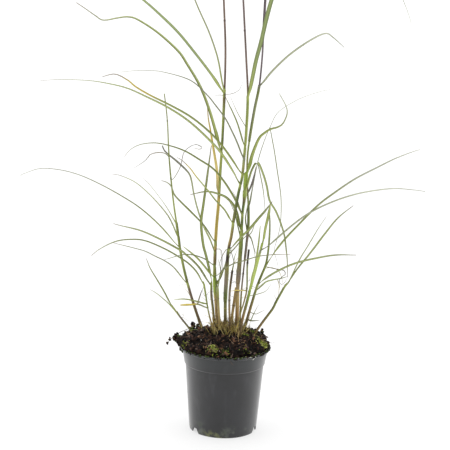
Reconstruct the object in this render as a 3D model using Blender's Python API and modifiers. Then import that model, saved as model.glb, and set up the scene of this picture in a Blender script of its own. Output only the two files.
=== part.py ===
"""Potted miscanthus grass clump: a plastic nursery pot, its heaped potting soil, the canes and
shoots that stand in the soil, and the blades that arch from them.

Metres, +Z up, -Y towards the viewer. The origin is the middle of the pot's underside. Every piece
is one object. Blades start on the skin of the cane that carries them, a hair's breadth away, and
the canes' feet stand in pockets in the soil.
"""
import math

import bmesh
import bpy
from mathutils import Vector, noise

MM = 0.001
GAP = 0.3 * MM                    # left between two pieces that touch

# Pot: a 13 cm nursery pot.
RIM_RADIUS = 65.0 * MM
POT_HEIGHT = 123.5 * MM
LIP_HEIGHT = 3.2 * MM             # the flange round the rim
NECK_RADIUS = 61.8 * MM           # wall just under the lip
LEDGE_DROP = 24.0 * MM            # from the rim down to the step in the wall
LEDGE_RADIUS = 58.3 * MM
LEDGE_STEP = 1.6 * MM
FOOT_RADIUS = 49.2 * MM
WALL = 1.6 * MM
ROUNDING = 1.0 * MM               # the lip's rounded edges
LEDGE_SLOPE = 1.2 * MM            # height of the step's sloping face
FOOT_CHAMFER = 0.6 * MM           # at the very bottom of the wall
FOOT_CHAMFER_HEIGHT = 3.0 * MM
FLOOR_HEIGHT = 9.0 * MM           # underside of the floor, above the ring that the pot stands on
FLOOR_THICKNESS = 1.8 * MM
FOOT_RING = 2.0 * MM              # width of that ring
NOTCH_WIDTH = 16.0 * MM           # the openings cut through the ring
NOTCH_HEIGHT = 7.4 * MM
NOTCH_DEPTH = 8.0 * MM
NOTCH_DIRECTIONS = (-149.0, -25.0, 93.0)    # degrees about +Z
TURN_STEPS = 40                   # facets round the pot and the soil

# Soil: a plug that fills the pot and a heap that stands above the rim and leans over it.
HEAP_HEIGHT = 24.0 * MM           # crown of the heap above the rim
HEAP_FRONT = 0.45                 # height of its front edge, as a share of its back edge's
HEAP_PROFILE = (                  # out from the middle as a share of the rim, up as a share of the crown
    (0.0, 1.0), (0.24, 1.0), (0.46, 0.97), (0.64, 0.90), (0.79, 0.74), (0.89, 0.50), (0.915, 0.24),
    (0.90, 0.06),
)
HEAP_LUMP = 4.0 * MM              # how far the lumps stand out
HEAP_GRAIN = 15.0 * MM            # how wide they are
HEAP_CALM = 6.0 * MM              # they fade out over this height above the rim
BRIM_START, BRIM_END = 0.55, 0.85       # shares of the rim over which the heap starts to lean out
BRIM_TURN = 1.4                   # how quickly that lean dies away towards the front
OVERHANG = 4.0 * MM               # how far it leans over the rim at the sides and the back
OVERHANG_LEFT = 9.0 * MM          # and more on the left
FOOT_LEVEL = POT_HEIGHT + 2.0 * MM      # height at which the canes' feet stand in the soil
POCKET_SLACK = 0.6 * MM           # clearance round a foot
POCKET_LENGTH = 50.0 * MM         # long enough for a pocket to come out through the heap
POCKET_SIDES = 8

# The plant's lines were read in one view, from an eye in front of the pot that looks slightly
# down. Its points are counted (across, down) in 450ths of the view's side. The canes that leave
# the view at its top are carried on above it, at counts below zero.
EYE = Vector((-4.8, -1850.0, 684.0)) * MM
VIEW_DIP = math.radians(11.7)
VIEW_ROLL = math.radians(1.7)
VIEW_MIDDLE = 225.0
VIEW_FOCAL = 1330.0               # focal length in the same 450ths

LONG_CANE_RINGS = 10
SHORT_CANE_RINGS = 6
BLADE_EXTRA_RINGS = 6             # rings of a blade beyond the points of its line
BLADE_GROWTH = 0.35               # share of its length over which a blade grows to full width
BLADE_BASE = 0.6                  # width at its base, as a share of the full width
BLADE_TIP = 0.13                  # width at its tip, likewise
BLADE_TAPER = 2.6                 # a higher power keeps it wide for longer
BLADE_CHANNEL = 0.15              # how deep its channel is, as a share of its width
BLADE_KEEL = 0.12                 # how thick it is over the midrib, as a share of its width

# Canes and shoots: depth of the foot behind the pot's axis, depth gained per height, radius at the
# foot and at the top (mm), and the line as seen, foot first.
CANES = {
    "shoot_far_left": (8, 0.10, 1.5, 1.0, [
        (188, 327), (180, 317), (172, 306)]),
    "cane_left": (22, 0.10, 2.2, 0.8, [
        (200, 323), (196, 312), (190, 293), (184, 270), (180, 250), (177, 228), (173, 200), (169, 160),
        (167, 120), (164, 93)]),
    "shoot_left": (-14, -0.12, 1.6, 1.0, [
        (212, 326), (209, 315), (207, 305), (205, 292), (203, 281)]),
    "stalk_upright": (6, -0.02, 1.8, 1.5, [
        (214, 325), (212.5, 308), (211, 295), (211, 283)]),
    "cane_main": (20, 0.05, 2.2, 0.7, [
        (217, 325), (215.5, 300), (214.5, 280), (214.5, 260), (216, 228), (218, 205), (220, 170),
        (222, 140), (224, 95), (225, 65), (225, 40), (223.5, 0), (222, -45), (219.5, -84)]),
    "stalk_front": (-4, -0.08, 1.7, 1.4, [
        (219, 321), (218, 305), (217, 287)]),
    "cane_centre": (8, -0.09, 2.1, 0.7, [
        (225, 325), (225, 300), (226, 280), (228, 250), (231, 235), (234, 215), (238, 193), (242, 175),
        (244, 155), (246, 130), (247.5, 95), (246, 60), (245, 40), (243, 0), (241, -38), (238, -72)]),
    "stalk_brown": (-8, -0.06, 1.5, 1.1, [
        (229.5, 325), (229, 305), (229.5, 290), (232, 270)]),
    "stalk_back": (26, 0.10, 1.9, 1.5, [
        (231, 324), (232, 314), (234, 300), (236, 287)]),
    "cane_green": (4, 0.02, 2.3, 1.5, [
        (236.5, 325), (237, 305), (237.5, 285), (239, 265), (240.5, 245), (242, 215), (244, 198),
        (246, 172)]),
    "stub_dead": (-12, -0.05, 1.5, 1.6, [
        (238, 322), (241, 310), (244, 300), (246.5, 288), (247, 265), (248.5, 249)]),
    "cane_right": (18, 0.06, 1.7, 0.7, [
        (239.5, 322), (241, 293), (243, 272), (246, 245), (248, 225), (248, 205), (247, 185),
        (247, 160), (249, 140), (254, 110), (259, 85), (262, 55), (263, 35), (265, 0), (268, -34),
        (272, -62)]),
    "shoot_green": (-24, -0.15, 1.7, 1.2, [
        (240.5, 326), (243, 315), (247, 300), (250, 288), (253, 277), (257, 262), (262, 243)]),
    "shoot_right": (30, 0.12, 1.9, 1.3, [
        (244, 327), (247, 318), (250, 308), (253, 298), (256, 288), (259, 280), (265, 266)]),
    "shoot_far_right": (6, 0.05, 1.8, 1.3, [
        (258, 328), (263, 321), (272, 309), (276, 301), (285, 285)]),
}

# Blades by the cane that carries them: degrees by which the blade is turned out of the view's
# plane (positive is away from the viewer), full width (mm), degrees by which its face has turned
# at the tip, and the line as seen, base first.
BLADES = {
    "shoot_far_left": [
        (-20, 4.5, 60, [(172, 306), (165, 294), (157, 280), (150, 268), (146, 258)]),
        (35, 4.0, -50, [(177, 312), (169, 304), (160, 296), (155, 292), (150, 289)]),
    ],
    "cane_left": [
        (-30, 5.0, 45, [(187, 283), (174, 268), (165, 261), (155, 256), (145, 251), (135, 248),
                        (112, 242)]),
        (-20, 6.0, 60, [(179, 247), (160, 226), (140, 208), (120, 195), (100, 184), (80, 175),
                        (60, 169.5), (40, 168), (25, 172.5), (20, 175)]),
        (30, 5.5, -40, [(177, 236), (172, 224), (165, 212), (150, 195), (135, 182), (120, 175),
                        (112, 173.5)]),
        (50, 4.0, -30, [(174, 223), (165, 205), (150, 185), (143, 178)]),
    ],
    "shoot_left": [
        (-35, 5.5, 50, [(204, 284), (197, 273), (190, 265), (182, 259), (165, 249), (145, 240.5),
                        (130, 239), (115, 241), (100, 248), (91, 255)]),
        (-20, 4.0, 70, [(207.5, 308), (198, 304), (192, 304), (180, 304.5)]),
        (20, 3.5, -60, [(207, 304), (198, 301), (185, 298.5), (174, 299)]),
    ],
    "stalk_upright": [
        (25, 5.5, -45, [(211, 285), (200, 269), (192, 260), (185, 254), (180, 250), (160, 239),
                        (140, 230), (120, 225), (113, 223)]),
        (-10, 5.5, 70, [(211, 283), (209, 268), (206, 255), (203, 243), (201, 222), (203, 205),
                        (205, 190), (209, 160), (211, 145)]),
    ],
    "cane_main": [
        (20, 4.5, 40, [(214.5, 277), (200, 261), (193, 254), (183, 246)]),
        (-15, 4.0, 50, [(214.5, 265), (203, 258), (186, 254), (164, 259)]),
        (35, 4.5, 80, [(215, 250), (210, 240), (204, 228), (200, 218), (196, 205), (193, 192),
                       (191, 180), (188, 172), (178, 162), (165, 151), (162, 145)]),
        (-30, 5.0, 60, [(215.5, 241), (204, 226), (190, 211), (180, 201), (174, 194), (171, 186),
                        (167, 182), (161, 180)]),
        (-15, 6.0, 35, [(218.5, 194), (217, 180), (216, 168), (214, 155), (212, 143), (210, 130),
                        (208, 118), (207, 105)]),
        (-20, 7.0, 50, [(221, 152), (216, 133), (209, 108), (200, 85), (187, 63), (178, 50),
                        (158, 32), (138, 19), (128, 16), (118, 17), (103, 19.5), (95, 15),
                        (85, 8), (76, 2)]),
        (42, 6.0, -50, [(223.5, 93), (212.5, 75.5), (196, 53.5), (177, 30.5), (156, 10.5), (145, 1),
                        (132, -9), (118, -13), (104, -10)]),
        (-48, 3.9, 45, [(224, 90), (221, 78), (217, 57), (209, 33), (198, 8), (188, -16),
                        (176, -40), (164, -55)]),
    ],
    "stalk_front": [
        (-40, 4.5, 50, [(217, 285), (221, 272), (232, 264), (245, 260), (258, 256), (275, 254),
                        (290, 254)]),
    ],
    "cane_centre": [
        (-30, 6.0, 30, [(229, 249), (238, 240), (245, 233), (250, 228), (258, 218), (265, 210),
                        (272, 201)]),
        (-25, 3.5, 60, [(232.5, 222), (225, 210), (215, 199), (208, 190), (196, 176), (190, 168),
                        (182, 160), (177, 157)]),
        (15, 6.5, -45, [(240, 184), (233, 172), (220, 152), (205, 136), (187, 120), (167, 107),
                        (147, 97), (127, 88), (107, 83), (87, 80), (60, 79), (40, 80)]),
        (-30, 6.5, 50, [(242, 174), (232, 160), (221, 145), (208, 131), (190, 116.5), (170, 105),
                        (150, 95), (135, 86), (128, 80), (115, 73.5), (102, 76)]),
        (-50, 4.5, 40, [(243.5, 158), (237, 143), (230, 128), (224, 117), (215, 105), (206, 94),
                        (190, 80), (165, 72), (150, 70), (135, 70), (120, 71.5)]),
        (-10, 4.0, 60, [(245, 145), (240, 133), (235, 118), (225, 96)]),
        (-40, 6.5, 40, [(247.5, 97), (251, 83), (255.6, 61), (260.6, 42), (265.4, 21), (271, 0),
                        (279, -24), (291, -44), (305, -56)]),
    ],
    "cane_green": [
        (10, 6.0, -50, [(241, 230), (237, 215), (233, 205), (228, 199), (222, 195), (207, 191),
                        (190, 194)]),
        (-25, 6.0, 45, [(242, 214), (235, 200), (228, 188), (221, 178), (212, 168), (200, 160),
                        (185, 151), (170, 145.5), (155, 142.5), (140, 144), (130, 149), (124, 156)]),
        (-45, 5.0, 60, [(245, 190), (249, 178), (252, 169), (257, 162), (262, 172), (266, 185),
                        (269, 200), (275, 210), (280, 222), (284, 235), (286, 250), (287, 262),
                        (287, 276)]),
        (-35, 6.5, 70, [(246, 173), (250, 162), (253, 152), (259, 138), (264, 133), (270, 129),
                        (277, 127), (282, 124), (285, 119), (287, 113), (286, 106), (279, 93)]),
    ],
    "cane_right": [
        (48, 5.0, -50, [(248, 206), (252, 190), (258, 160), (265, 138), (271, 124), (276, 114),
                        (284, 107), (300, 98), (320, 91), (330, 89)]),
        (40, 6.0, -40, [(259, 86), (272, 71), (290, 54), (310, 40), (325, 33), (333, 37),
                        (344, 47)]),
        (20, 5.0, -50, [(266.5, -18), (272, -34), (284, -50), (302, -63), (325, -70), (350, -66),
                        (372, -50), (388, -28), (400, -6), (407, 10), (411, 23)]),
    ],
    "shoot_green": [
        (50, 4.5, 40, [(249, 291), (252, 277), (255, 266), (258, 245), (260, 225)]),
        (-20, 6.0, 45, [(260.5, 250), (270, 244), (285, 231), (300, 219), (315, 209.5), (335, 200.5),
                        (355, 194), (375, 190), (395, 188), (415, 189.5), (425, 191)]),
        (-30, 6.0, 60, [(262, 243), (265, 230), (268, 215), (270, 204)]),
    ],
    "shoot_right": [
        (30, 4.5, 60, [(256, 290), (262, 285), (267, 281), (280, 278), (287, 276)]),
        (-35, 5.5, 50, [(258, 284), (264, 279), (277, 271), (295, 263), (315, 258), (335, 254.5),
                        (356, 254.5)]),
        (60, 4.5, 50, [(265, 267), (268, 247), (269.5, 225), (269, 208)]),
        (22, 6.5, -45, [(265, 266), (271, 257), (283, 241), (300, 223), (318, 205), (335, 192),
                        (355, 178.5), (375, 168), (395, 158), (413, 151), (420, 149)]),
    ],
    "shoot_far_right": [
        (40, 4.0, -40, [(284, 288), (290, 279), (299, 260), (308, 245), (318, 228), (326, 216)]),
        (-20, 6.0, 50, [(285, 285), (297, 269), (310, 253), (325, 233), (338, 217), (353, 205)]),
    ],
}

# Material: base colour, roughness.
FINISHES = {
    "pot_plastic": ((0.035, 0.037, 0.039), 0.38),
    "potting_soil": ((0.045, 0.030, 0.020), 0.95),
    "cane": ((0.200, 0.170, 0.060), 0.55),
    "dead_straw": ((0.420, 0.300, 0.130), 0.70),
    "blade_green": ((0.150, 0.230, 0.050), 0.45),
}
WITHERED = {"cane_main_blade_3", "cane_main_blade_5", "cane_centre_blade_2", "stub_dead"}


def make_collection(name):
    """A new collection in the scene."""
    collection = bpy.data.collections.new(name)
    bpy.context.scene.collection.children.link(collection)
    return collection


def make_material(name):
    """A Principled material with the colour and roughness of FINISHES."""
    colour, roughness = FINISHES[name]
    material = bpy.data.materials.new(name)
    material.use_nodes = True
    shader = material.node_tree.nodes["Principled BSDF"]
    shader.inputs["Base Color"].default_value = (*colour, 1.0)
    shader.inputs["Roughness"].default_value = roughness
    shader.inputs["Metallic"].default_value = 0.0
    return material


def add_object(name, data, material, collection):
    """Link a new object of this data, with its material."""
    piece = bpy.data.objects.new(name, data)
    data.materials.clear()
    data.materials.append(material)
    collection.objects.link(piece)
    return piece


def hide_as_guide(guide):
    """A cutter or a profile: seen as wire, and no part of the model."""
    guide.hide_render = True
    guide.display_type = "WIRE"


# --- lines ---------------------------------------------------------------------------------------

def sight(across, down):
    """Direction from the eye through a point of the view."""
    right, low = across - VIEW_MIDDLE, down - VIEW_MIDDLE
    level_right = right * math.cos(VIEW_ROLL) + low * math.sin(VIEW_ROLL)
    level_low = low * math.cos(VIEW_ROLL) - right * math.sin(VIEW_ROLL)
    forward = Vector((0.0, math.cos(VIEW_DIP), -math.sin(VIEW_DIP)))
    upward = Vector((0.0, math.sin(VIEW_DIP), math.cos(VIEW_DIP)))
    return forward * VIEW_FOCAL + Vector((level_right, 0.0, 0.0)) - upward * level_low


def meet(seen, point, normal):
    """Where the sight line through a seen point meets a plane."""
    direction = sight(*seen)
    return EYE + direction * ((point - EYE).dot(normal) / direction.dot(normal))


def curve_through(points, count):
    """`count` points at even steps along a smooth curve through the given ones."""
    fine = []
    ends = [2 * points[0] - points[1]] + list(points) + [2 * points[-1] - points[-2]]
    for before, start, end, after in zip(ends, ends[1:], ends[2:], ends[3:]):
        for step in range(12):
            t = step / 12
            fine.append(0.5 * (2 * start + (end - before) * t
                               + (2 * before - 5 * start + 4 * end - after) * t ** 2
                               + (3 * start - 3 * end + after - before) * t ** 3))
    fine.append(points[-1])
    travelled = [0.0]
    for start, end in zip(fine, fine[1:]):
        travelled.append(travelled[-1] + (end - start).length)
    even = []
    reach = 0
    for index in range(count):
        goal = travelled[-1] * index / (count - 1)
        while reach < len(fine) - 2 and travelled[reach + 1] < goal:
            reach += 1
        share = (goal - travelled[reach]) / (travelled[reach + 1] - travelled[reach])
        even.append(fine[reach].lerp(fine[reach + 1], share))
    return even


def cane_plane(name):
    """The plane that a cane stands in, leaning away or towards the view: a point and a normal."""
    depth, lean, _, _, seen = CANES[name]
    upright = Vector((0.0, 1.0, 0.0))
    return meet(seen[0], upright * depth * MM, upright), Vector((0.0, 1.0, -lean))


def cane_line(name):
    """A cane's middle line, from its foot in the soil to its top."""
    seen = CANES[name][-1]
    points = [meet(place, *cane_plane(name)) for place in seen]
    rise = points[1] - points[0]
    buried = points[0] - rise * ((points[0].z - FOOT_LEVEL) / rise.z)
    rings = LONG_CANE_RINGS if len(seen) > 6 else SHORT_CANE_RINGS
    return [buried] + curve_through(points, rings)


def cane_radii(name, line):
    """Radius at each point of a cane's line, tapering evenly from foot to top."""
    _, _, foot, top, _ = CANES[name]
    return [(foot + (top - foot) * index / (len(line) - 1)) * MM for index in range(len(line))]


def point_at_height(line, radii, height):
    """The middle and the radius of a cane at one height."""
    for start, end, wide, thin in zip(line, line[1:], radii, radii[1:]):
        if start.z <= height <= end.z:
            share = (height - start.z) / (end.z - start.z)
            return start.lerp(end, share), wide + (thin - wide) * share
    return line[-1], radii[-1]


def blade_line(cane, turn, width, seen):
    """A blade's middle line: it arches in one upright plane, from the cane's skin to its tip."""
    line = cane_line(cane)
    radii = cane_radii(cane, line)
    side = math.copysign(1.0, seen[-1][0] - seen[0][0])
    out = Vector((side * math.cos(math.radians(turn)), math.sin(math.radians(turn)), 0.0))
    across = Vector((-out.y, out.x, 0.0))
    height = meet(seen[0], *cane_plane(cane)).z
    middle, radius = point_at_height(line, radii, height)
    thickness = width * MM * BLADE_BASE * (BLADE_CHANNEL + 0.5 * BLADE_KEEL)
    base = middle + out * (radius + GAP + thickness)
    points = [base] + [meet(place, base, across) for place in seen[1:]]
    return curve_through(points, len(seen) + BLADE_EXTRA_RINGS), out


def blade_widths(width, count):
    """Width at each point of a blade: it widens from its base and narrows to a fine tip."""
    widths = []
    for index in range(count):
        along = index / (count - 1)
        growth = math.sin(min(1.0, along / BLADE_GROWTH) * math.pi / 2)
        body = (BLADE_BASE + (1.0 - BLADE_BASE) * growth) * (1.0 - along ** BLADE_TAPER)
        widths.append(max(body, BLADE_TIP) * width * MM)
    return widths


# --- canes and blades ----------------------------------------------------------------------------

def blade_section(collection):
    """The cross-section of every blade, one metre wide: a shallow channel over a keel."""
    keel, channel = (0.0, -BLADE_KEEL / 2), (0.0, BLADE_KEEL / 2)
    outline = [(-0.5, BLADE_CHANNEL), channel, (0.5, BLADE_CHANNEL), keel]
    curve = bpy.data.curves.new("blade_section", "CURVE")
    curve.dimensions = "2D"
    spline = curve.splines.new("POLY")
    spline.points.add(len(outline) - 1)
    for point, (x, y) in zip(spline.points, outline):
        point.co = (x, y, 0.0, 1.0)
    spline.use_cyclic_u = True
    section = bpy.data.objects.new("blade_section", curve)
    collection.objects.link(section)
    hide_as_guide(section)
    return section


def swept_curve(name, line, sizes, tilts):
    """A curve on straight runs through a line, with a size and a tilt at each point."""
    curve = bpy.data.curves.new(name, "CURVE")
    curve.dimensions = "3D"
    curve.twist_mode = "MINIMUM"
    curve.use_fill_caps = True
    spline = curve.splines.new("POLY")
    spline.points.add(len(line) - 1)
    for point, place, size, tilt in zip(spline.points, line, sizes, tilts):
        point.co = (*place, 1.0)
        point.radius = size
        point.tilt = tilt
    return curve


def make_cane(name, material, collection):
    """A cane: a six-sided tube that tapers to its top."""
    line = cane_line(name)
    radii = cane_radii(name, line)
    curve = swept_curve(name, line, [radius / MM for radius in radii], [0.0] * len(line))
    curve.bevel_depth = MM
    curve.bevel_resolution = 1
    return add_object(name, curve, material, collection)


def make_blade(name, cane, leaf, section, material, collection):
    """A blade: the channelled section swept along its line, its face turning towards the tip."""
    turn, width, face_turn, seen = leaf
    line, out = blade_line(cane, turn, width, seen)
    leans_in = (line[1] - line[0]).dot(out) < 0.0
    start = math.pi if leans_in else 0.0
    tilts = [start + math.radians(face_turn) * index / (len(line) - 1) for index in range(len(line))]
    curve = swept_curve(name, line, blade_widths(width, len(line)), tilts)
    curve.bevel_mode = "OBJECT"
    curve.bevel_object = section
    return add_object(name, curve, material, collection)


# --- pot and soil --------------------------------------------------------------------------------

def turned(name, profile, material, collection):
    """A turned piece: a profile at +X, run down its outer side, with a Screw modifier."""
    shape = bmesh.new()
    verts = [shape.verts.new((radius, 0.0, height)) for radius, height in profile]
    for start, end in zip(verts, verts[1:]):
        shape.edges.new((start, end))
    mesh = bpy.data.meshes.new(name)
    shape.to_mesh(mesh)
    shape.free()
    piece = add_object(name, mesh, material, collection)
    screw = piece.modifiers.new("turn", "SCREW")
    screw.steps = screw.render_steps = TURN_STEPS
    screw.use_merge_vertices = True
    screw.merge_threshold = 0.00005
    return piece


def cut(piece, cutter, cutters):
    """Take a cutter away from a piece."""
    for old in cutter.users_collection:
        old.objects.unlink(cutter)
    cutters.objects.link(cutter)
    hide_as_guide(cutter)
    opening = piece.modifiers.new(cutter.name, "BOOLEAN")
    opening.operation = "DIFFERENCE"
    opening.object = cutter


def wall_radius(height):
    """Outer radius of the pot's wall below its ledge."""
    under_ledge = LEDGE_RADIUS - LEDGE_STEP
    share = height / (POT_HEIGHT - LEDGE_DROP)
    return FOOT_RADIUS + (under_ledge - FOOT_RADIUS) * share


def inner_wall():
    """The pot's inner wall as (radius, height) points, from the floor to just under the rim."""
    ledge = POT_HEIGHT - LEDGE_DROP
    floor_top = FLOOR_HEIGHT + FLOOR_THICKNESS
    return [
        (wall_radius(floor_top) - WALL, floor_top),
        (LEDGE_RADIUS - LEDGE_STEP - WALL, ledge - LEDGE_SLOPE),
        (LEDGE_RADIUS - WALL, ledge + 0.5 * MM),
        (NECK_RADIUS - WALL, POT_HEIGHT - ROUNDING),
    ]


def make_pot(material, collection, cutters):
    """The pot: wall, ledge, lip and floor in one turned profile, and three notches in its foot."""
    ledge = POT_HEIGHT - LEDGE_DROP
    lip_foot = POT_HEIGHT - LIP_HEIGHT
    ring_inside = FOOT_RADIUS - FOOT_RING
    profile = [(0.0, FLOOR_HEIGHT + FLOOR_THICKNESS)] + inner_wall() + [
        (NECK_RADIUS - WALL + ROUNDING, POT_HEIGHT),
        (RIM_RADIUS - ROUNDING, POT_HEIGHT),
        (RIM_RADIUS, POT_HEIGHT - ROUNDING),
        (RIM_RADIUS, lip_foot + ROUNDING),
        (RIM_RADIUS - ROUNDING, lip_foot),
        (NECK_RADIUS, lip_foot),
        (LEDGE_RADIUS, ledge),
        (LEDGE_RADIUS - LEDGE_STEP, ledge - LEDGE_SLOPE),
        (wall_radius(FOOT_CHAMFER_HEIGHT), FOOT_CHAMFER_HEIGHT),
        (FOOT_RADIUS - FOOT_CHAMFER, 0.0),
        (ring_inside, 0.0),
        (ring_inside, FLOOR_HEIGHT),
        (0.0, FLOOR_HEIGHT),
    ]
    pot = turned("pot", profile, material, collection)
    for number, direction in enumerate(NOTCH_DIRECTIONS, 1):
        angle = math.radians(direction)
        bpy.ops.mesh.primitive_cube_add(size=1.0)
        cutter = bpy.context.object
        cutter.name = f"notch_{number}"
        cutter.scale = (NOTCH_DEPTH, NOTCH_WIDTH, 2 * NOTCH_HEIGHT)
        cutter.location = (FOOT_RADIUS * math.cos(angle), FOOT_RADIUS * math.sin(angle), 0.0)
        cutter.rotation_euler.z = angle
        cut(pot, cutter, cutters)


def heaped(place):
    """Where a point of the evenly turned heap ends up: lower in front, over the rim elsewhere."""
    above = place.z - POT_HEIGHT
    radius = math.hypot(place.x, place.y)
    if above < GAP or radius < GAP:
        return place
    toward_back = place.y / radius
    toward_left = max(0.0, -place.x / radius)
    share = radius / RIM_RADIUS
    brim = max(0.0, min(1.0, (share - BRIM_START) / (BRIM_END - BRIM_START)))
    sides = max(0.0, min(1.0, 1.0 + BRIM_TURN * toward_back))
    spread = brim * (OVERHANG * sides + (OVERHANG_LEFT - OVERHANG) * toward_left ** 4)
    fall = 1.0 - (1.0 - HEAP_FRONT) * share * (1.0 - toward_back) / 2
    lump = noise.noise(place / HEAP_GRAIN) * HEAP_LUMP
    outward = Vector((place.x, place.y, 0.0)) / radius
    moved = place + outward * (spread + brim * sides * lump)
    moved.z = POT_HEIGHT + max(above * fall + lump * min(1.0, above / HEAP_CALM), 3 * GAP)
    return moved


def make_soil(material, collection, cutters):
    """The soil: a plug that fills the pot under a lumpy heap, with a pocket for each cane's foot."""
    wall = [(radius - GAP, height) for radius, height in inner_wall()]
    floor_radius, floor_top = wall[0]
    profile = [(out * RIM_RADIUS, POT_HEIGHT + up * HEAP_HEIGHT) for out, up in HEAP_PROFILE]
    profile += [(NECK_RADIUS - WALL - GAP, POT_HEIGHT)]
    profile += wall[:0:-1] + [(floor_radius, floor_top + GAP), (0.0, floor_top + GAP)]
    plain = turned("potting_soil_turned", profile, material, collection)
    graph = bpy.context.evaluated_depsgraph_get()
    mesh = bpy.data.meshes.new_from_object(plain.evaluated_get(graph))
    bpy.data.objects.remove(plain)
    for vert in mesh.vertices:
        vert.co = heaped(vert.co)
    soil = add_object("potting_soil", mesh, material, collection)
    for cane in CANES:
        line = cane_line(cane)
        rise = line[1] - line[0]
        radius = cane_radii(cane, line)[0] + POCKET_SLACK
        bpy.ops.mesh.primitive_cylinder_add(vertices=POCKET_SIDES, radius=1.0, depth=1.0)
        cutter = bpy.context.object
        cutter.name = f"pocket_{cane}"
        length = POCKET_LENGTH + 2 * GAP
        cutter.scale = (radius, radius, length)
        cutter.rotation_euler = rise.to_track_quat("Z", "Y").to_euler()
        cutter.location = line[0] + rise.normalized() * (length / 2 - 2 * GAP)
        cut(soil, cutter, cutters)


def main():
    """Build the whole clump."""
    for old in list(bpy.data.objects):
        bpy.data.objects.remove(old)
    parts = make_collection("potted_miscanthus")
    cutters = make_collection("cutters_and_guides")
    finish = {name: make_material(name) for name in FINISHES}
    make_pot(finish["pot_plastic"], parts, cutters)
    make_soil(finish["potting_soil"], parts, cutters)
    section = blade_section(cutters)
    for cane in CANES:
        make_cane(cane, finish["dead_straw" if cane in WITHERED else "cane"], parts)
        for number, leaf in enumerate(BLADES.get(cane, []), 1):
            name = f"{cane}_blade_{number}"
            material = finish["dead_straw" if name in WITHERED else "blade_green"]
            make_blade(name, cane, leaf, section, material, parts)


main()
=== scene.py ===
# %% [markdown]
# # A potted clump of miscanthus
# The object is a young clump of miscanthus grass in a 13 cm nursery pot: a thin-walled plastic
# pot, a heap of bark soil, fifteen canes and shoots, and the long blades that arch from them.
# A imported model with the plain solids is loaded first. It says where each piece stands, and every
# piece that is modelled here takes the place of one of its nodes, or grows on one.

# %% Load the frame
import math
import random

import bmesh
import bpy
from mathutils import Matrix, Vector, noise
from mathutils.bvhtree import BVHTree


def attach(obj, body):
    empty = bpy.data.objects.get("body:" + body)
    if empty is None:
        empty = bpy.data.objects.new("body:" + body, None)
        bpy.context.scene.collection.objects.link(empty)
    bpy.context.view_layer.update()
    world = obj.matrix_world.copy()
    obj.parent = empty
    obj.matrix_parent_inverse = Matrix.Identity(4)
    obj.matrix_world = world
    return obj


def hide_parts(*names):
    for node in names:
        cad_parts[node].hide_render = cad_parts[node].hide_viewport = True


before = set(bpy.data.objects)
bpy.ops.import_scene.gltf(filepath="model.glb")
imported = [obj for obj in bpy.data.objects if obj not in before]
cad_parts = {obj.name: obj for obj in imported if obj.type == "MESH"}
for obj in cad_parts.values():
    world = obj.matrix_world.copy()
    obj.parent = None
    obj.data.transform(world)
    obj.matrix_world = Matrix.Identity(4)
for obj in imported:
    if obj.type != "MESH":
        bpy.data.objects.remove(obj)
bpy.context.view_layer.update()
MM = 0.001
UP = Vector((0.0, 0.0, 1.0))

# %% [markdown]
# ## The camera
# A lens is a focal length on a 36 mm sensor. The view looks down by 11.7 degrees and is rolled
# by 1.7 degrees. It comes first, because the plant's lines were read through it, in 450ths of
# the picture's side: `sight` gives the direction in which such a place is seen, `meet` gives the
# point where that direction meets a plane, and `seen_at` turns a point back into its place.
# The places were read at the corners of the picture's dots, so the camera itself stands half a
# dot further up and to the left.

# %% Set up the camera
EYE = Vector((-4.8, -1850.0, 684.0)) * MM
VIEW_DIP = math.radians(11.7)
VIEW_ROLL = math.radians(1.7)
VIEW_MIDDLE = 225.0
VIEW_FOCAL = 1330.0
SENSOR = 36.0
READING_SHIFT = Vector((-0.5, 0.0, 0.8)) * MM

lens = bpy.data.cameras.new("camera")
lens.sensor_width = SENSOR
lens.lens = SENSOR * VIEW_FOCAL / (2 * VIEW_MIDDLE)
camera = bpy.data.objects.new("camera", lens)
camera.matrix_world = (Matrix.Translation(EYE + READING_SHIFT)
                       @ Matrix.Rotation(math.pi / 2 - VIEW_DIP, 4, "X")
                       @ Matrix.Rotation(VIEW_ROLL, 4, "Z"))
bpy.context.scene.collection.objects.link(camera)
bpy.context.scene.camera = camera

FORWARD = Vector((0.0, math.cos(VIEW_DIP), -math.sin(VIEW_DIP)))
UPWARD = Vector((0.0, math.sin(VIEW_DIP), math.cos(VIEW_DIP)))


def sight(across, down):
    """Direction from the eye through a place in the picture."""
    right, low = across - VIEW_MIDDLE, down - VIEW_MIDDLE
    level_right = right * math.cos(VIEW_ROLL) + low * math.sin(VIEW_ROLL)
    level_low = low * math.cos(VIEW_ROLL) - right * math.sin(VIEW_ROLL)
    return FORWARD * VIEW_FOCAL + Vector((level_right, 0.0, 0.0)) - UPWARD * level_low


def meet(seen, point, normal):
    """Where the sight line through a seen place meets a plane."""
    direction = sight(*seen)
    return EYE + direction * ((point - EYE).dot(normal) / direction.dot(normal))


def seen_at(point):
    """Where a point is seen: (across, down)."""
    away = (point - EYE) * (VIEW_FOCAL / (point - EYE).dot(FORWARD))
    right, low = away.x, -away.dot(UPWARD)
    return (VIEW_MIDDLE + right * math.cos(VIEW_ROLL) - low * math.sin(VIEW_ROLL),
            VIEW_MIDDLE + right * math.sin(VIEW_ROLL) + low * math.cos(VIEW_ROLL))


print("lens", round(lens.lens, 1), "mm; the pot's foot is seen at", [round(v) for v in seen_at(Vector())])

# %% [markdown]
# ## Finishes are node trees
# Each finish is a Principled shader whose inputs are fed by small sums: noise, the piece's own
# paint, a mask. Written as nodes such sums are hard to read, so `Wire` wraps a socket and lets
# Python's + - * / build the Math nodes. `Finish` makes the material, and its `node` method adds
# any other node: settings first, then the values or links of its sockets.

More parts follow.
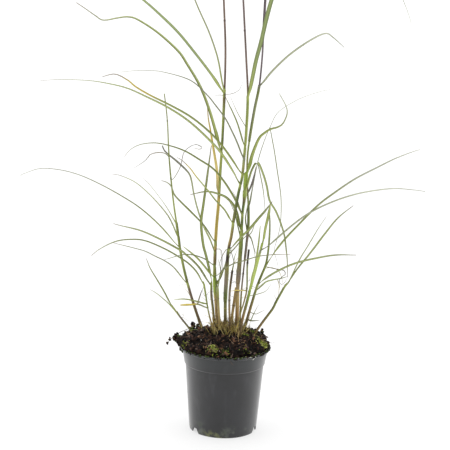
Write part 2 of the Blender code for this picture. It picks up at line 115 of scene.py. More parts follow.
# %% Wires and finishes
class Wire:
    """A node's output that can be used in sums."""

    def __init__(self, tree, socket):
        self.tree, self.socket = tree, socket

    def _math(self, operation, *values):
        node = self.tree.nodes.new("ShaderNodeMath")
        node.operation = operation
        for place, value in zip(node.inputs, values):
            if isinstance(value, Wire):
                self.tree.links.new(value.socket, place)
            else:
                place.default_value = value
        return Wire(self.tree, node.outputs[0])

    def __add__(self, other):
        return self._math("ADD", self, other)

    def __sub__(self, other):
        return self._math("SUBTRACT", self, other)

    def __rsub__(self, other):
        return self._math("SUBTRACT", other, self)

    def __mul__(self, other):
        return self._math("MULTIPLY", self, other)

    def __abs__(self):
        return self._math("ABSOLUTE", self)

    def above(self, low, high):
        """0 below `low`, 1 above `high`, and smooth between them."""
        node = self.tree.nodes.new("ShaderNodeMapRange")
        node.interpolation_type = "SMOOTHSTEP"
        node.inputs["From Min"].default_value = low
        node.inputs["From Max"].default_value = high
        self.tree.links.new(self.socket, node.inputs["Value"])
        return Wire(self.tree, node.outputs["Result"])

    __radd__ = __add__
    __rmul__ = __mul__


class Finish:
    """A material, its Principled shader, and one method that adds any other node."""

    def __init__(self, name, **constants):
        self.material = bpy.data.materials.new(name)
        self.material.use_nodes = True
        self.tree = self.material.node_tree
        self.shader = self.tree.nodes["Principled BSDF"]
        for socket, value in constants.items():
            self.shader.inputs[socket.replace("_", " ")].default_value = value

    def node(self, kind, settings=None, output=0, **sockets):
        """Add a node. Sockets are named with _ for a space, or input_N for the Nth."""
        node = self.tree.nodes.new(kind)
        for setting, value in (settings or {}).items():
            setattr(node, setting, value)
        for name, value in sockets.items():
            place = (node.inputs[int(name[6:])] if name.startswith("input_")
                     else node.inputs[name.replace("_", " ")])
            if isinstance(value, Wire):
                self.tree.links.new(value.socket, place)
            else:
                place.default_value = value
        return Wire(self.tree, node.outputs[output])

    def noise(self, where, scale, detail=3.0, roughness=0.55):
        """Noise round 0.5."""
        return self.node("ShaderNodeTexNoise", Vector=where, Scale=scale, Detail=detail,
                         Roughness=roughness)

    def mix(self, share, first, second):
        """A colour between two colours."""
        return self.node("ShaderNodeMix", {"data_type": "RGBA"}, 2, input_0=share, input_6=first,
                         input_7=second)

    def shade(self, colour, amount):
        """A colour made darker or lighter by an amount round 1."""
        grey = self.node("ShaderNodeCombineXYZ", X=amount, Y=amount, Z=amount)
        return self.node("ShaderNodeVectorMath", {"operation": "MULTIPLY"}, input_0=colour,
                         input_1=grey)

    def stretched(self, where, x, y, z):
        """The same places, scaled along each axis."""
        return self.node("ShaderNodeMapping", Vector=where, Scale=(x, y, z))

    def feed(self, socket, value):
        """Link a wire to one of the shader's inputs."""
        self.tree.links.new(value.socket, self.shader.inputs[socket])

    def bumps(self, height, depth, strength=1.0):
        """Let a height, in units of `depth` metres, turn the surface's normals."""
        bump = self.node("ShaderNodeBump", Height=height, Distance=depth, Strength=strength)
        self.feed("Normal", bump)


def tone(red, green, blue):
    """The linear colour of an sRGB colour given in 0...255."""
    linear = [(v / 255 / 12.92 if v <= 10 else ((v / 255 + 0.055) / 1.055) ** 2.4)
              for v in (red, green, blue)]
    return (*linear, 1.0)


print("a mid grey of 128 is", round(tone(128, 128, 128)[0], 3), "in linear light")

# %% [markdown]
# ## From a bmesh to a piece of the object
# Every piece is modelled in a bmesh. `settle` turns it into an object with its finish, lets it
# ride on the frame's body, and hides the nodes of the frame that it stands for.

# %% Settle a finished bmesh in the scene
def settle(name, shape, finish, slot, *nodes, smooth=True):
    """A new object from a bmesh, standing for these nodes of the frame."""
    mesh = bpy.data.meshes.new(name)
    shape.to_mesh(mesh)
    shape.free()
    for polygon in mesh.polygons:
        polygon.use_smooth = smooth
    mesh.materials.append(finish.material)
    piece = bpy.data.objects.new(name, mesh)
    bpy.context.scene.collection.objects.link(piece)
    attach(piece, "root")
    if nodes:
        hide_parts(*nodes)
    return piece


# %% [markdown]
# ## The pot
# A nursery pot is blown or moulded from thin black plastic, so it is one wall of even thickness:
# a rolled lip, a band that slopes in to a ledge, a long tapering wall, and a floor that is raised
# on a ring with openings for water. A wall of revolution is a profile that is spun. The profile
# runs down its outer side and up its inner side, and its corners are then rounded with a bevel.

# %% Spin the wall of the pot
RIM_RADIUS = 65.0 * MM
POT_HEIGHT = 123.5 * MM
LIP_HEIGHT = 3.2 * MM
NECK_RADIUS = 61.8 * MM
LEDGE_HEIGHT = POT_HEIGHT - 24.0 * MM
LEDGE_RADIUS = 58.3 * MM
LEDGE_STEP = 1.6 * MM
FOOT_RADIUS = 49.2 * MM
WALL = 1.6 * MM
FLOOR_HEIGHT = 9.0 * MM
FOOT_RING = 2.0 * MM
ROUND_STEPS = 144


def spun(profile, steps):
    """A closed solid of revolution from (radius, height) points that run down the outer side."""
    shape = bmesh.new()
    verts = [shape.verts.new((radius, 0.0, height)) for radius, height in profile]
    edges = [shape.edges.new(pair) for pair in zip(verts, verts[1:])]
    bmesh.ops.spin(shape, geom=verts + edges, cent=(0, 0, 0), axis=(0, 0, 1), angle=2 * math.pi,
                   steps=steps, use_merge=True)
    bmesh.ops.remove_doubles(shape, verts=shape.verts[:], dist=0.01 * MM)
    bmesh.ops.recalc_face_normals(shape, faces=shape.faces[:])
    return shape


def pot_profile():
    """The pot's section, from the middle of its floor, over the lip, and back to the middle."""
    neck_inside = NECK_RADIUS - WALL
    return [
        (0.0, FLOOR_HEIGHT + 1.8 * MM),
        (FOOT_RADIUS + 0.8 * MM - WALL, FLOOR_HEIGHT + 1.8 * MM),
        (LEDGE_RADIUS - LEDGE_STEP - WALL, LEDGE_HEIGHT - 1.2 * MM),
        (LEDGE_RADIUS - WALL, LEDGE_HEIGHT + 0.5 * MM),
        (neck_inside, POT_HEIGHT - 1.0 * MM),
        (neck_inside + 1.0 * MM, POT_HEIGHT),
        (RIM_RADIUS - 1.0 * MM, POT_HEIGHT),
        (RIM_RADIUS, POT_HEIGHT - 1.0 * MM),
        (RIM_RADIUS, POT_HEIGHT - LIP_HEIGHT + 0.8 * MM),
        (RIM_RADIUS - 0.8 * MM, POT_HEIGHT - LIP_HEIGHT),
        (NECK_RADIUS, POT_HEIGHT - LIP_HEIGHT),
        (LEDGE_RADIUS, LEDGE_HEIGHT),
        (LEDGE_RADIUS - LEDGE_STEP, LEDGE_HEIGHT - 1.2 * MM),
        (FOOT_RADIUS, 3.0 * MM),
        (FOOT_RADIUS - 0.6 * MM, 0.0),
        (FOOT_RADIUS - FOOT_RING, 0.0),
        (FOOT_RADIUS - FOOT_RING, FLOOR_HEIGHT),
        (0.0, FLOOR_HEIGHT),
    ]


pot_shape = spun(pot_profile(), ROUND_STEPS)
print("pot wall:", len(pot_shape.faces), "faces before its corners are rounded")

# %% Round the corners that a hand would feel
CORNER = math.radians(25)
corners = [edge for edge in pot_shape.edges
           if len(edge.link_faces) == 2 and edge.calc_face_angle() > CORNER]
bmesh.ops.bevel(pot_shape, geom=corners, offset=0.35 * MM, offset_type="OFFSET", segments=2,
                profile=0.5, affect="EDGES", material=-1)
print("pot wall:", len(pot_shape.faces), "faces after it")

# %% [markdown]
# ## The finish of the pot
# Charcoal plastic, slightly blue, with a soft sheen. Handling and watering leave it dusty: pale
# smears near the foot with a trace of green, dried soil specks on the band, and a wall that is
# a little duller in some places than in others. All of that is noise on Object coordinates.

# %% Paint the plastic
def pot_finish():
    finish = Finish("pot_plastic", Specular_IOR_Level=0.6, Sheen_Weight=0.5, Sheen_Roughness=0.4)
    where = finish.node("ShaderNodeTexCoord", output=3)
    height = finish.node("ShaderNodeSeparateXYZ", output=2, Vector=where)
    cloud = finish.noise(where, 28.0)
    streak = finish.noise(finish.stretched(where, 260.0, 260.0, 14.0), 1.0)
    scuff = finish.noise(finish.stretched(where, 90.0, 90.0, 30.0), 1.0, 5.0).above(0.52, 0.74)
    grain = finish.noise(where, 1400.0, 2.0)
    near_foot = 1.0 - height.above(4.0 * MM, 26.0 * MM)
    on_band = height.above(LEDGE_HEIGHT, LEDGE_HEIGHT + 6.0 * MM)
    dust = near_foot * finish.noise(where, 75.0).above(0.50, 0.72)
    algae = near_foot * finish.noise(where, 46.0, 4.0).above(0.56, 0.68)
    across = finish.node("ShaderNodeSeparateXYZ", output=0, Vector=where)
    stained = across.above(-34.0 * MM, -20.0 * MM) * (1.0 - across.above(-6.0 * MM, 4.0 * MM))
    stained *= 1.0 - height.above(3.0 * MM, 14.0 * MM)
    stain = stained * finish.noise(where, 120.0).above(0.40, 0.62)
    specks = on_band * finish.noise(where, 330.0, 1.0).above(0.70, 0.76)
    plain = finish.mix(cloud.above(0.3, 0.7), tone(6, 7, 10), tone(22, 23, 27))
    scuffed = finish.mix(scuff * 0.3, plain, tone(58, 58, 62))
    banded = finish.mix(on_band * 0.5, scuffed, tone(15, 24, 26))
    dusty = finish.mix(dust * 0.45, banded, tone(104, 110, 98))
    green = finish.mix(algae * 0.4, dusty, tone(74, 88, 54))
    stale = finish.mix(stain * 0.55, green, tone(118, 122, 70))
    finish.feed("Base Color", finish.mix(specks * 0.8, stale, tone(20, 16, 12)))
    finish.feed("Roughness", 0.34 + cloud * 0.16 + dust * 0.25 + streak * 0.06)
    finish.bumps(grain * 0.3 + streak * 0.5 + specks, 0.12 * MM, 0.5)
    return finish


pot = settle("pot_wall", pot_shape, pot_finish(), "pot_plastic", "pot")

# %% [markdown]
# ## Openings in the foot
# Water leaves through three notches in the ring. A Boolean modifier takes a rounded block away
# at each of them, and the block is thrown away once the cut is in the mesh. The notches have
# slanted sides, so the block's lower edge is the wider one.

# %% Cut the notches
NOTCH_DIRECTIONS = (-144.5, -20.0, 93.0)
NOTCH_WIDTH = 16.0 * MM
NOTCH_HEIGHT = 7.4 * MM
NOTCH_DEPTH = 8.0 * MM
NOTCH_FLARE = 0.45


def notch_block():
    """The three blocks in one mesh, with rounded edges, each wider towards the ground."""
    shape = bmesh.new()
    for direction in NOTCH_DIRECTIONS:
        turn = Matrix.Rotation(math.radians(direction), 4, "Z")
        place = turn @ Matrix.Translation((FOOT_RADIUS, 0.0, 0.0)) @ Matrix.Diagonal(
            (NOTCH_DEPTH, NOTCH_WIDTH, 2 * NOTCH_HEIGHT, 1.0))
        made = bmesh.ops.create_cube(shape, size=1.0)["verts"]
        for vert in made:
            vert.co.y *= 1.0 - 2 * NOTCH_FLARE * vert.co.z
        bmesh.ops.transform(shape, verts=made, matrix=place)
    bmesh.ops.bevel(shape, geom=shape.edges[:], offset=0.8 * MM, offset_type="OFFSET", segments=2,
                    profile=0.5, affect="EDGES", material=-1)
    mesh = bpy.data.meshes.new("notches")
    shape.to_mesh(mesh)
    shape.free()
    block = bpy.data.objects.new("notches", mesh)
    bpy.context.scene.collection.objects.link(block)
    return block


def carve(piece, block):
    """Take a block away from a piece, for good."""
    opening = piece.modifiers.new("opening", "BOOLEAN")
    opening.operation = "DIFFERENCE"
    opening.object = block
    bpy.context.view_layer.update()
    graph = bpy.context.evaluated_depsgraph_get()
    cut_mesh = bpy.data.meshes.new_from_object(piece.evaluated_get(graph))
    piece.modifiers.clear()
    piece.data = cut_mesh
    bpy.data.objects.remove(block)


carve(pot, notch_block())
pot.data.set_sharp_from_angle(angle=math.radians(40))
print("pot:", len(pot.data.polygons), "faces with its notches")

# %% [markdown]
# ## The heap of soil
# The soil fills the pot and stands above the rim in an uneven heap, low in front and pushed out
# over the rim at the sides and the back, most on the left. It is spun from a smooth profile, and
# each point is then moved: first as the plain solid's points are, then by finer noise, so that it
# reads as a surface of coarse crumbs.

# %% Heap the soil
HEAP_HEIGHT = 24.0 * MM
HEAP_FRONT = 0.45
HEAP_LUMP = 4.0 * MM
HEAP_GRAIN = 15.0 * MM
HEAP_CALM = 6.0 * MM
BRIM_START, BRIM_END = 0.55, 0.85
BRIM_TURN = 1.4
OVERHANG = 1.5 * MM
OVERHANG_LEFT = 9.0 * MM
LEAST_SOIL = 0.9 * MM
HEAP_RINGS, HEAP_STEPS = 52, 200
# Sizes of the crumbs, each with how far it pushes the surface.
CRUMBS = ((5.0 * MM, 1.9 * MM), (2.4 * MM, 1.1 * MM), (1.1 * MM, 0.4 * MM))
# Hollows in the heap: (right of the pot's axis, behind it, reach, depth) in mm.
HOLLOWS = ((-21, 30, 12, 5.0), (-24, 24, 16, 2.0), (-24, 46, 11, 5.0), (38, 32, 13, 1.4),
           (-50, 22, 8, 1.5), (30, 32, 8, 1.5), (30, 46, 9, 2.5), (61, 4, 9, 2.0))


def heaped(place):
    """Where a point of the evenly spun heap ends up."""
    above = place.z - POT_HEIGHT
    radius = math.hypot(place.x, place.y)
    if above < 0.3 * MM or radius < 0.3 * MM:
        return place
    toward_back = place.y / radius
    toward_left = max(0.0, -place.x / radius)
    share = radius / RIM_RADIUS
    brim = max(0.0, min(1.0, (share - BRIM_START) / (BRIM_END - BRIM_START)))
    sides = max(0.0, min(1.0, 1.0 + BRIM_TURN * toward_back))
    spread = brim * (OVERHANG * sides + (OVERHANG_LEFT - OVERHANG) * toward_left ** 4)
    fall = 1.0 - (1.0 - HEAP_FRONT) * share * (1.0 - toward_back) / 2
    lump = noise.noise(place / HEAP_GRAIN) * HEAP_LUMP
    outward = Vector((place.x, place.y, 0.0)) / radius
    moved = place + outward * (spread + brim * sides * lump)
    x, y = moved.x / MM, moved.y / MM
    sink = sum(depth * math.exp(-math.hypot(x - right, y - back) ** 2 / reach ** 2)
               for right, back, reach, depth in HOLLOWS) * MM
    moved.z = POT_HEIGHT + max(above * fall + lump * min(1.0, above / HEAP_CALM) - sink, LEAST_SOIL)
    return moved


def crumb_push(place):
    """How far crumbs of three sizes push a point of the heap out or in."""
    if place.z < POT_HEIGHT + 0.5 * MM:
        return 0.0
    return sum(noise.noise(place / size) * depth for size, depth in CRUMBS)


def smooth_profile(points, count):
    """The same (radius, height) line with `count` even steps."""
    lengths = [math.dist(a, b) for a, b in zip(points, points[1:])]
    total = sum(lengths)
    fine = []
    for index in range(count + 1):
        goal, leg = total * index / count, 0
        while leg < len(lengths) - 1 and goal > lengths[leg]:
            goal -= lengths[leg]
            leg += 1
        share = min(1.0, goal / lengths[leg])
        fine.append(tuple(a + (b - a) * share for a, b in zip(points[leg], points[leg + 1])))
    return fine


heap_line = [(0.0, 1.0), (0.24, 1.0), (0.46, 0.97), (0.64, 0.90), (0.79, 0.74), (0.89, 0.50),
             (0.915, 0.24), (0.90, 0.06)]
heap_top = smooth_profile([(out * RIM_RADIUS, POT_HEIGHT + up * HEAP_HEIGHT)
                           for out, up in heap_line], HEAP_RINGS)
inside = WALL + 0.4 * MM
plug = [(NECK_RADIUS - inside, POT_HEIGHT - 0.5 * MM),
        (LEDGE_RADIUS - inside, LEDGE_HEIGHT + 0.5 * MM),
        (LEDGE_RADIUS - LEDGE_STEP - inside, LEDGE_HEIGHT - 1.4 * MM),
        (FOOT_RADIUS + 0.8 * MM - inside, FLOOR_HEIGHT + 2.2 * MM), (0.0, FLOOR_HEIGHT + 2.2 * MM)]
soil_shape = spun(heap_top + plug, HEAP_STEPS)
for vert in soil_shape.verts:
    vert.co = heaped(vert.co)
soil_shape.normal_update()
pushes = [crumb_push(vert.co) for vert in soil_shape.verts]
height_of = soil_shape.verts.layers.float.new("push")
for vert, push in zip(soil_shape.verts, pushes):
    vert.co += vert.normal * push
    vert[height_of] = push / MM
soil_shape.normal_update()
ground = BVHTree.FromBMesh(soil_shape)
print("soil:", len(soil_shape.faces), "faces")

# %% [markdown]
# ## The finish of the soil
# Moist bark soil is nearly black and dried bark soil is dark brown, and one noise chooses between
# the two. The hollows of the heap are also painted nearly black, as painted shade, so the brown,
# the moss and the pale fibres' specks show only on the raised crumbs. A finer noise adds those
# specks, and the bump is coarse.

# %% Paint the soil
def soil_finish():
    finish = Finish("potting_soil", Specular_IOR_Level=0.1)
    where = finish.node("ShaderNodeTexCoord", output=3)
    damp = finish.noise(where, 90.0, 5.0)
    crumb = finish.noise(where, 420.0, 4.0, 0.65)
    push = finish.node("ShaderNodeAttribute", {"attribute_name": "push"}, 2)
    # 1 on the raised crumbs and 0 in the hollows, which are painted nearly black as painted shade.
    raised = push.above(-1.0, 1.4)
    dry = finish.mix(damp.above(0.40, 0.66) * raised, tone(9, 6, 5), tone(52, 34, 26))
    moss = finish.noise(where, 34.0, 3.0).above(0.60, 0.72) * crumb.above(0.42, 0.6)
    green = finish.mix(moss * raised * 0.35, dry, tone(70, 74, 32))
    finish.feed("Base Color", finish.mix(crumb.above(0.62, 0.75) * raised, green, tone(104, 82, 60)))
    finish.feed("Roughness", 0.72 + crumb * 0.25)
    finish.bumps(crumb + damp * 0.6, 1.2 * MM, 0.8)
    return finish


settle("soil_heap", soil_shape, soil_finish(), "potting_soil", "potting_soil")

# %% [markdown]
# ## Smooth lines through a few places
# Canes and blades are long curves, read as a few places each. `curve_through` lays a smooth
# line through them with points at even steps. A cane stands in a plane that leans a little
# towards or away from the view. A blade arches in an upright plane of its own that starts on the
# skin of its cane.

# %% Lay a smooth line through points
FINE_STEPS = 12


def curve_through(points, count):
    """`count` points at even steps along a smooth curve through the given ones."""
    fine = []
    ends = [2 * points[0] - points[1]] + list(points) + [2 * points[-1] - points[-2]]
    for before, start, end, after in zip(ends, ends[1:], ends[2:], ends[3:]):
        for step in range(FINE_STEPS):
            t = step / FINE_STEPS
            fine.append(0.5 * (2 * start + (end - before) * t
                               + (2 * before - 5 * start + 4 * end - after) * t ** 2
                               + (3 * start - 3 * end + after - before) * t ** 3))
    fine.append(points[-1])
    travelled = [0.0]
    for start, end in zip(fine, fine[1:]):
        travelled.append(travelled[-1] + (end - start).length)
    even = []
    reach = 0
    for index in range(count):
        goal = travelled[-1] * index / (count - 1)
        while reach < len(fine) - 2 and travelled[reach + 1] < goal:
            reach += 1
        share = (goal - travelled[reach]) / (travelled[reach + 1] - travelled[reach])
        even.append(fine[reach].lerp(fine[reach + 1], share))
    return even


def length_of(line):
    """The length of a line of points."""
    return sum((end - start).length for start, end in zip(line, line[1:]))


def ahead_at(line, index):
    """The direction in which a line of points runs at one of them."""
    return (line[min(index + 1, len(line) - 1)] - line[max(index - 1, 0)]).normalized()


# %% [markdown]
# ## The lines of the plant
# The tables hold real sizes in millimetres and the places that each line passes, foot or base
# first. A line that leaves the picture at its top is carried on above it, at counts below zero.

# %% List the canes
# Canes and shoots: depth of the foot behind the pot's axis, depth gained per height, radius at the
# foot and at the top (mm), and the line as seen, foot first.
CANES = {
    "shoot_far_left": (8, 0.10, 1.5, 1.0, [
        (188, 327), (180, 317), (172, 306)]),
    "cane_left": (22, 0.10, 2.2, 0.8, [
        (200, 323), (196, 312), (190, 293), (184, 270), (180, 250), (177, 228), (173, 200), (169, 160),
        (167, 120), (164, 93)]),
    "shoot_left": (-14, -0.12, 1.6, 1.0, [
        (212, 326), (209, 315), (207, 305), (205, 292), (203, 281)]),
    "stalk_upright": (6, -0.02, 1.8, 1.5, [
        (214, 325), (212.5, 308), (211, 295), (211, 283)]),
    "cane_main": (20, 0.05, 2.2, 0.7, [
        (217, 325), (215.5, 300), (214.5, 280), (214.5, 260), (216, 228), (218, 205), (220, 170),
        (222, 140), (224, 95), (225, 65), (225, 40), (223.5, 0), (222, -45), (219.5, -84)]),
    "stalk_front": (-4, -0.08, 1.7, 1.4, [
        (219, 321), (218, 305), (217, 287)]),
    "cane_centre": (8, -0.09, 2.1, 0.7, [
        (225, 325), (225, 300), (226, 280), (228, 250), (231, 235), (234, 215), (238, 193), (242, 175),
        (244, 155), (246, 130), (247.5, 95), (246, 60), (245, 40), (243, 0), (241, -38), (238, -72)]),
    "stalk_brown": (-8, -0.06, 1.5, 1.1, [
        (229.5, 325), (229, 305), (229.5, 290), (232, 270)]),
    "stalk_back": (26, 0.10, 1.9, 1.5, [
        (231, 324), (232, 314), (234, 300), (236, 287)]),
    "cane_green": (4, 0.02, 2.3, 1.5, [
        (236.5, 325), (237, 305), (237.5, 285), (239, 265), (240.5, 245), (242, 215), (244, 198),
        (246, 172)]),
    "stub_dead": (-12, -0.05, 1.5, 1.6, [
        (238, 322), (241, 310), (244, 300), (246.5, 288), (247, 265), (248.5, 249)]),
    "cane_right": (18, 0.06, 1.7, 0.7, [
        (239.5, 322), (241, 293), (243, 272), (246, 245), (248, 225), (248, 205), (247, 185),
        (247, 160), (249, 140), (254, 110), (259, 85), (262, 55), (263, 35), (265, 0), (268, -34),
        (272, -62)]),
    "shoot_green": (-24, -0.15, 1.7, 1.2, [
        (240.5, 326), (243, 315), (247, 300), (250, 288), (253, 277), (257, 262), (262, 243)]),
    "shoot_right": (30, 0.12, 1.9, 1.3, [
        (244, 327), (247, 318), (250, 308), (253, 298), (256, 288), (259, 280), (265, 266)]),
    "shoot_far_right": (6, 0.05, 1.8, 1.3, [
        (258, 328), (263, 321), (272, 309), (276, 301), (285, 285)]),
}

# %% List the blades
# Blades by the cane that carries them: degrees by which the blade is turned out of the view's
# plane (positive is away from the viewer), full width (mm), degrees by which its face has turned
# at the tip, and the line as seen, base first.
BLADES = {
    "shoot_far_left": [
        (-20, 4.5, 60, [(172, 306), (165, 294), (157, 280), (150, 268), (146, 258)]),
        (35, 4.0, -50, [(177, 312), (169, 304), (160, 296), (155, 292), (150, 289)]),
    ],
    "cane_left": [
        (-30, 5.0, 45, [(187, 283), (174, 268), (165, 261), (155, 256), (145, 251), (135, 248),
                        (112, 242)]),
        (-20, 6.0, 60, [(179, 247), (160, 226), (140, 208), (120, 195), (100, 184), (80, 175),
                        (60, 169.5), (40, 168), (25, 172.5), (20, 175)]),
        (30, 5.5, -40, [(177, 236), (172, 224), (165, 212), (150, 195), (135, 182), (120, 175),
                        (112, 173.5)]),
        (50, 4.0, -30, [(174, 223), (165, 205), (150, 185), (143, 178)]),
    ],
    "shoot_left": [
        (-35, 5.5, 50, [(204, 284), (197, 273), (190, 265), (182, 259), (165, 249), (145, 240.5),
                        (130, 239), (115, 241), (100, 248), (91, 255)]),
        (-20, 4.0, 70, [(207.5, 308), (198, 304), (192, 304), (180, 304.5)]),
        (20, 3.5, -60, [(207, 304), (198, 301), (185, 298.5), (174, 299)]),
    ],
    "stalk_upright": [
        (25, 5.5, -45, [(211, 285), (200, 269), (192, 260), (185, 254), (180, 250), (160, 239),
                        (140, 230), (120, 225), (113, 223)]),
        (-10, 5.5, 70, [(211, 283), (209, 268), (206, 255), (203, 243), (201, 222), (203, 205),
                        (205, 190), (209, 160), (211, 145)]),
    ],
    "cane_main": [
        (20, 4.5, 40, [(214.5, 277), (200, 261), (193, 254), (183, 246)]),
        (-15, 4.0, 50, [(214.5, 265), (203, 258), (186, 254), (164, 259)]),
        (35, 4.5, 80, [(215, 250), (210, 240), (204, 228), (200, 218), (196, 205), (193, 192),
                       (191, 180), (188, 172), (178, 162), (165, 151), (162, 145)]),
        (-30, 5.0, 60, [(215.5, 241), (204, 226), (190, 211), (180, 201), (174, 194), (171, 186),
                        (167, 182), (161, 180)]),
        (-15, 6.0, 35, [(218.5, 194), (217, 180), (216, 168), (214, 155), (212, 143), (210, 130),
                        (208, 118), (207, 105)]),
        (-20, 7.0, 50, [(221, 152), (216, 133), (209, 108), (200, 85), (187, 63), (178, 50),
                        (158, 32), (138, 19), (128, 16), (118, 17), (103, 19.5), (95, 15),
                        (85, 8), (76, 2)]),
        (42, 6.0, -50, [(223.5, 93), (212.5, 75.5), (196, 53.5), (177, 30.5), (156, 10.5), (145, 1),
                        (132, -9), (118, -13), (104, -10)]),
        (-48, 3.9, 45, [(224, 90), (221, 78), (217, 57), (209, 33), (198, 8), (188, -16),
                        (176, -40), (164, -55)]),
    ],
    "stalk_front": [
        (-40, 4.5, 50, [(217, 285), (221, 272), (232, 264), (245, 260), (258, 256), (275, 254),
                        (290, 254)]),
    ],
    "cane_centre": [
        (-30, 6.0, 30, [(229, 249), (238, 240), (245, 233), (250, 228), (258, 218), (265, 210),
                        (272, 201)]),
        (-25, 3.5, 60, [(232.5, 222), (225, 210), (215, 199), (208, 190), (196, 176), (190, 168),
                        (182, 160), (177, 157)]),
        (15, 6.5, -45, [(240, 184), (233, 172), (220, 152), (205, 136), (187, 120), (167, 107),
                        (147, 97), (127, 88), (107, 83), (87, 80), (60, 79), (40, 80)]),
        (-30, 6.5, 50, [(242, 174), (232, 160), (221, 145), (208, 131), (190, 116.5), (170, 105),
                        (150, 95), (135, 86), (128, 80), (115, 73.5), (102, 76)]),
        (-50, 4.5, 40, [(243.5, 158), (237, 143), (230, 128), (224, 117), (215, 105), (206, 94),
                        (190, 80), (165, 72), (150, 70), (135, 70), (120, 71.5)]),
        (-10, 4.0, 60, [(245, 145), (240, 133), (235, 118), (225, 96)]),
        (-40, 6.5, 40, [(247.5, 97), (251, 83), (255.6, 61), (260.6, 42), (265.4, 21), (271, 0),
                        (279, -24), (291, -44), (305, -56)]),
    ],
    "cane_green": [
        (10, 6.0, -50, [(241, 230), (237, 215), (233, 205), (228, 199), (222, 195), (207, 191),
                        (190, 194)]),
        (-25, 6.0, 45, [(242, 214), (235, 200), (228, 188), (221, 178), (212, 168), (200, 160),
                        (185, 151), (170, 145.5), (155, 142.5), (140, 144), (130, 149), (124, 156)]),
        (-45, 5.0, 60, [(245, 190), (249, 178), (252, 169), (257, 162), (262, 172), (266, 185),
                        (269, 200), (275, 210), (280, 222), (284, 235), (286, 250), (287, 262),
                        (287, 276)]),
        (-35, 6.5, 70, [(246, 173), (250, 162), (253, 152), (259, 138), (264, 133), (270, 129),
                        (277, 127), (282, 124), (285, 119), (287, 113), (286, 106), (279, 93)]),
    ],
    "cane_right": [
        (48, 5.0, -50, [(248, 206), (252, 190), (258, 160), (265, 138), (271, 124), (276, 114),
                        (284, 107), (300, 98), (320, 91), (330, 89)]),
        (40, 6.0, -40, [(259, 86), (272, 71), (290, 54), (310, 40), (325, 33), (333, 37),
                        (344, 47)]),
        (20, 5.0, -50, [(266.5, -18), (272, -34), (284, -50), (302, -63), (325, -70), (350, -66),
                        (372, -50), (388, -28), (400, -6), (407, 10), (411, 23)]),
    ],
    "shoot_green": [
        (50, 4.5, 40, [(249, 291), (252, 277), (255, 266), (258, 245), (260, 225)]),
        (-20, 6.0, 45, [(260.5, 250), (270, 244), (285, 231), (300, 219), (315, 209.5), (335, 200.5),
                        (355, 194), (375, 190), (395, 188), (415, 189.5), (425, 191)]),
        (-30, 6.0, 60, [(262, 243), (265, 230), (268, 215), (270, 204)]),
    ],
    "shoot_right": [
        (30, 4.5, 60, [(256, 290), (262, 285), (267, 281), (280, 278), (287, 276)]),
        (-35, 5.5, 50, [(258, 284), (264, 279), (277, 271), (295, 263), (315, 258), (335, 254.5),
                        (356, 254.5)]),
        (60, 4.5, 50, [(265, 267), (268, 247), (269.5, 225), (269, 208)]),
        (22, 6.5, -45, [(265, 266), (271, 257), (283, 241), (300, 223), (318, 205), (335, 192),
                        (355, 178.5), (375, 168), (395, 158), (413, 151), (420, 149)]),
    ],
    "shoot_far_right": [
        (40, 4.0, -40, [(284, 288), (290, 279), (299, 260), (308, 245), (318, 228), (326, 216)]),
        (-20, 6.0, 50, [(285, 285), (297, 269), (310, 253), (325, 233), (338, 217), (353, 205)]),
    ],
}

FOOT_LEVEL = POT_HEIGHT + 2.0 * MM
GAP = 0.3 * MM
CANE_STEP = 1.5 * MM
LEAF_STEP = 4 * MM
print(len(CANES), "canes,", sum(len(leaves) for leaves in BLADES.values()), "blades")

# %% Find each cane's line
def cane_plane(name):
    """The plane that a cane stands in: a point and a normal."""
    depth, lean, _, _, seen = CANES[name]
    upright = Vector((0.0, 1.0, 0.0))
    return meet(seen[0], upright * depth * MM, upright), Vector((0.0, 1.0, -lean))


def cane_line(name):
    """A cane's middle line in steps of about 1.5 mm, from its foot in the soil."""
    points = [meet(place, *cane_plane(name)) for place in CANES[name][-1]]
    rise = points[1] - points[0]
    buried = points[0] - rise * ((points[0].z - FOOT_LEVEL) / rise.z)
    points = [buried] + points
    return curve_through(points, max(24, int(length_of(points) / CANE_STEP)))


LINES = {name: cane_line(name) for name in CANES}
print("the tallest cane is", round(max(line[-1].z for line in LINES.values()), 3), "m high")

# %% Thicken the canes with old sheaths
# How thick the layers of old sheath make a cane: (share of its length, share of its solid's
# radius).
BULK = {
    "shoot_far_left": [(0, 0.6), (1, 0.7)], "cane_left": [(0, 0.8), (0.3, 0.75), (1, 1.05)],
    "shoot_left": [(0, 0.45), (1, 0.85)], "stalk_upright": [(0, 0.65), (1, 0.8)],
    "cane_main": [(0, 0.95), (0.3, 1.0), (0.5, 0.85), (0.6, 1.2), (1, 1.7)],
    "stalk_front": [(0, 0.8), (1, 0.9)],
    "cane_centre": [(0, 1.2), (0.14, 1.2), (0.19, 1.35), (0.24, 1.05), (0.5, 1.0), (1, 1.7)],
    "stalk_brown": [(0, 1.0), (1, 1.5)], "stalk_back": [(0, 0.95), (1, 1.5)],
    "cane_green": [(0, 1.15), (0.15, 1.35), (0.42, 1.35), (0.6, 1.0), (0.66, 0.9), (0.8, 0.9),
                   (0.87, 1.3), (1, 1.4)],
    "stub_dead": [(0, 0.45), (0.3, 0.5), (0.5, 0.75), (1, 0.95)],
    "cane_right": [(0, 0.95), (0.14, 0.85), (0.2, 0.8), (0.3, 1.0), (1, 1.6)],
    "shoot_green": [(0, 0.7), (0.4, 1.0), (1, 1.0)], "shoot_right": [(0, 0.85), (1, 0.9)],
    "shoot_far_right": [(0, 0.8), (1, 0.8)],
}


def along(stops, place):
    """The number at a place between (place, number) stops that rise."""
    for (low, first), (high, second) in zip(stops, stops[1:]):
        if place <= high:
            return first + (second - first) * max(0.0, (place - low) / (high - low))
    return stops[-1][1]


def thickness_at(name, share):
    """A cane's radius at a share of its length, with the layers of old sheath round it."""
    _, _, foot, top, _ = CANES[name]
    return (foot + (top - foot) * share) * along(BULK[name], share) * MM


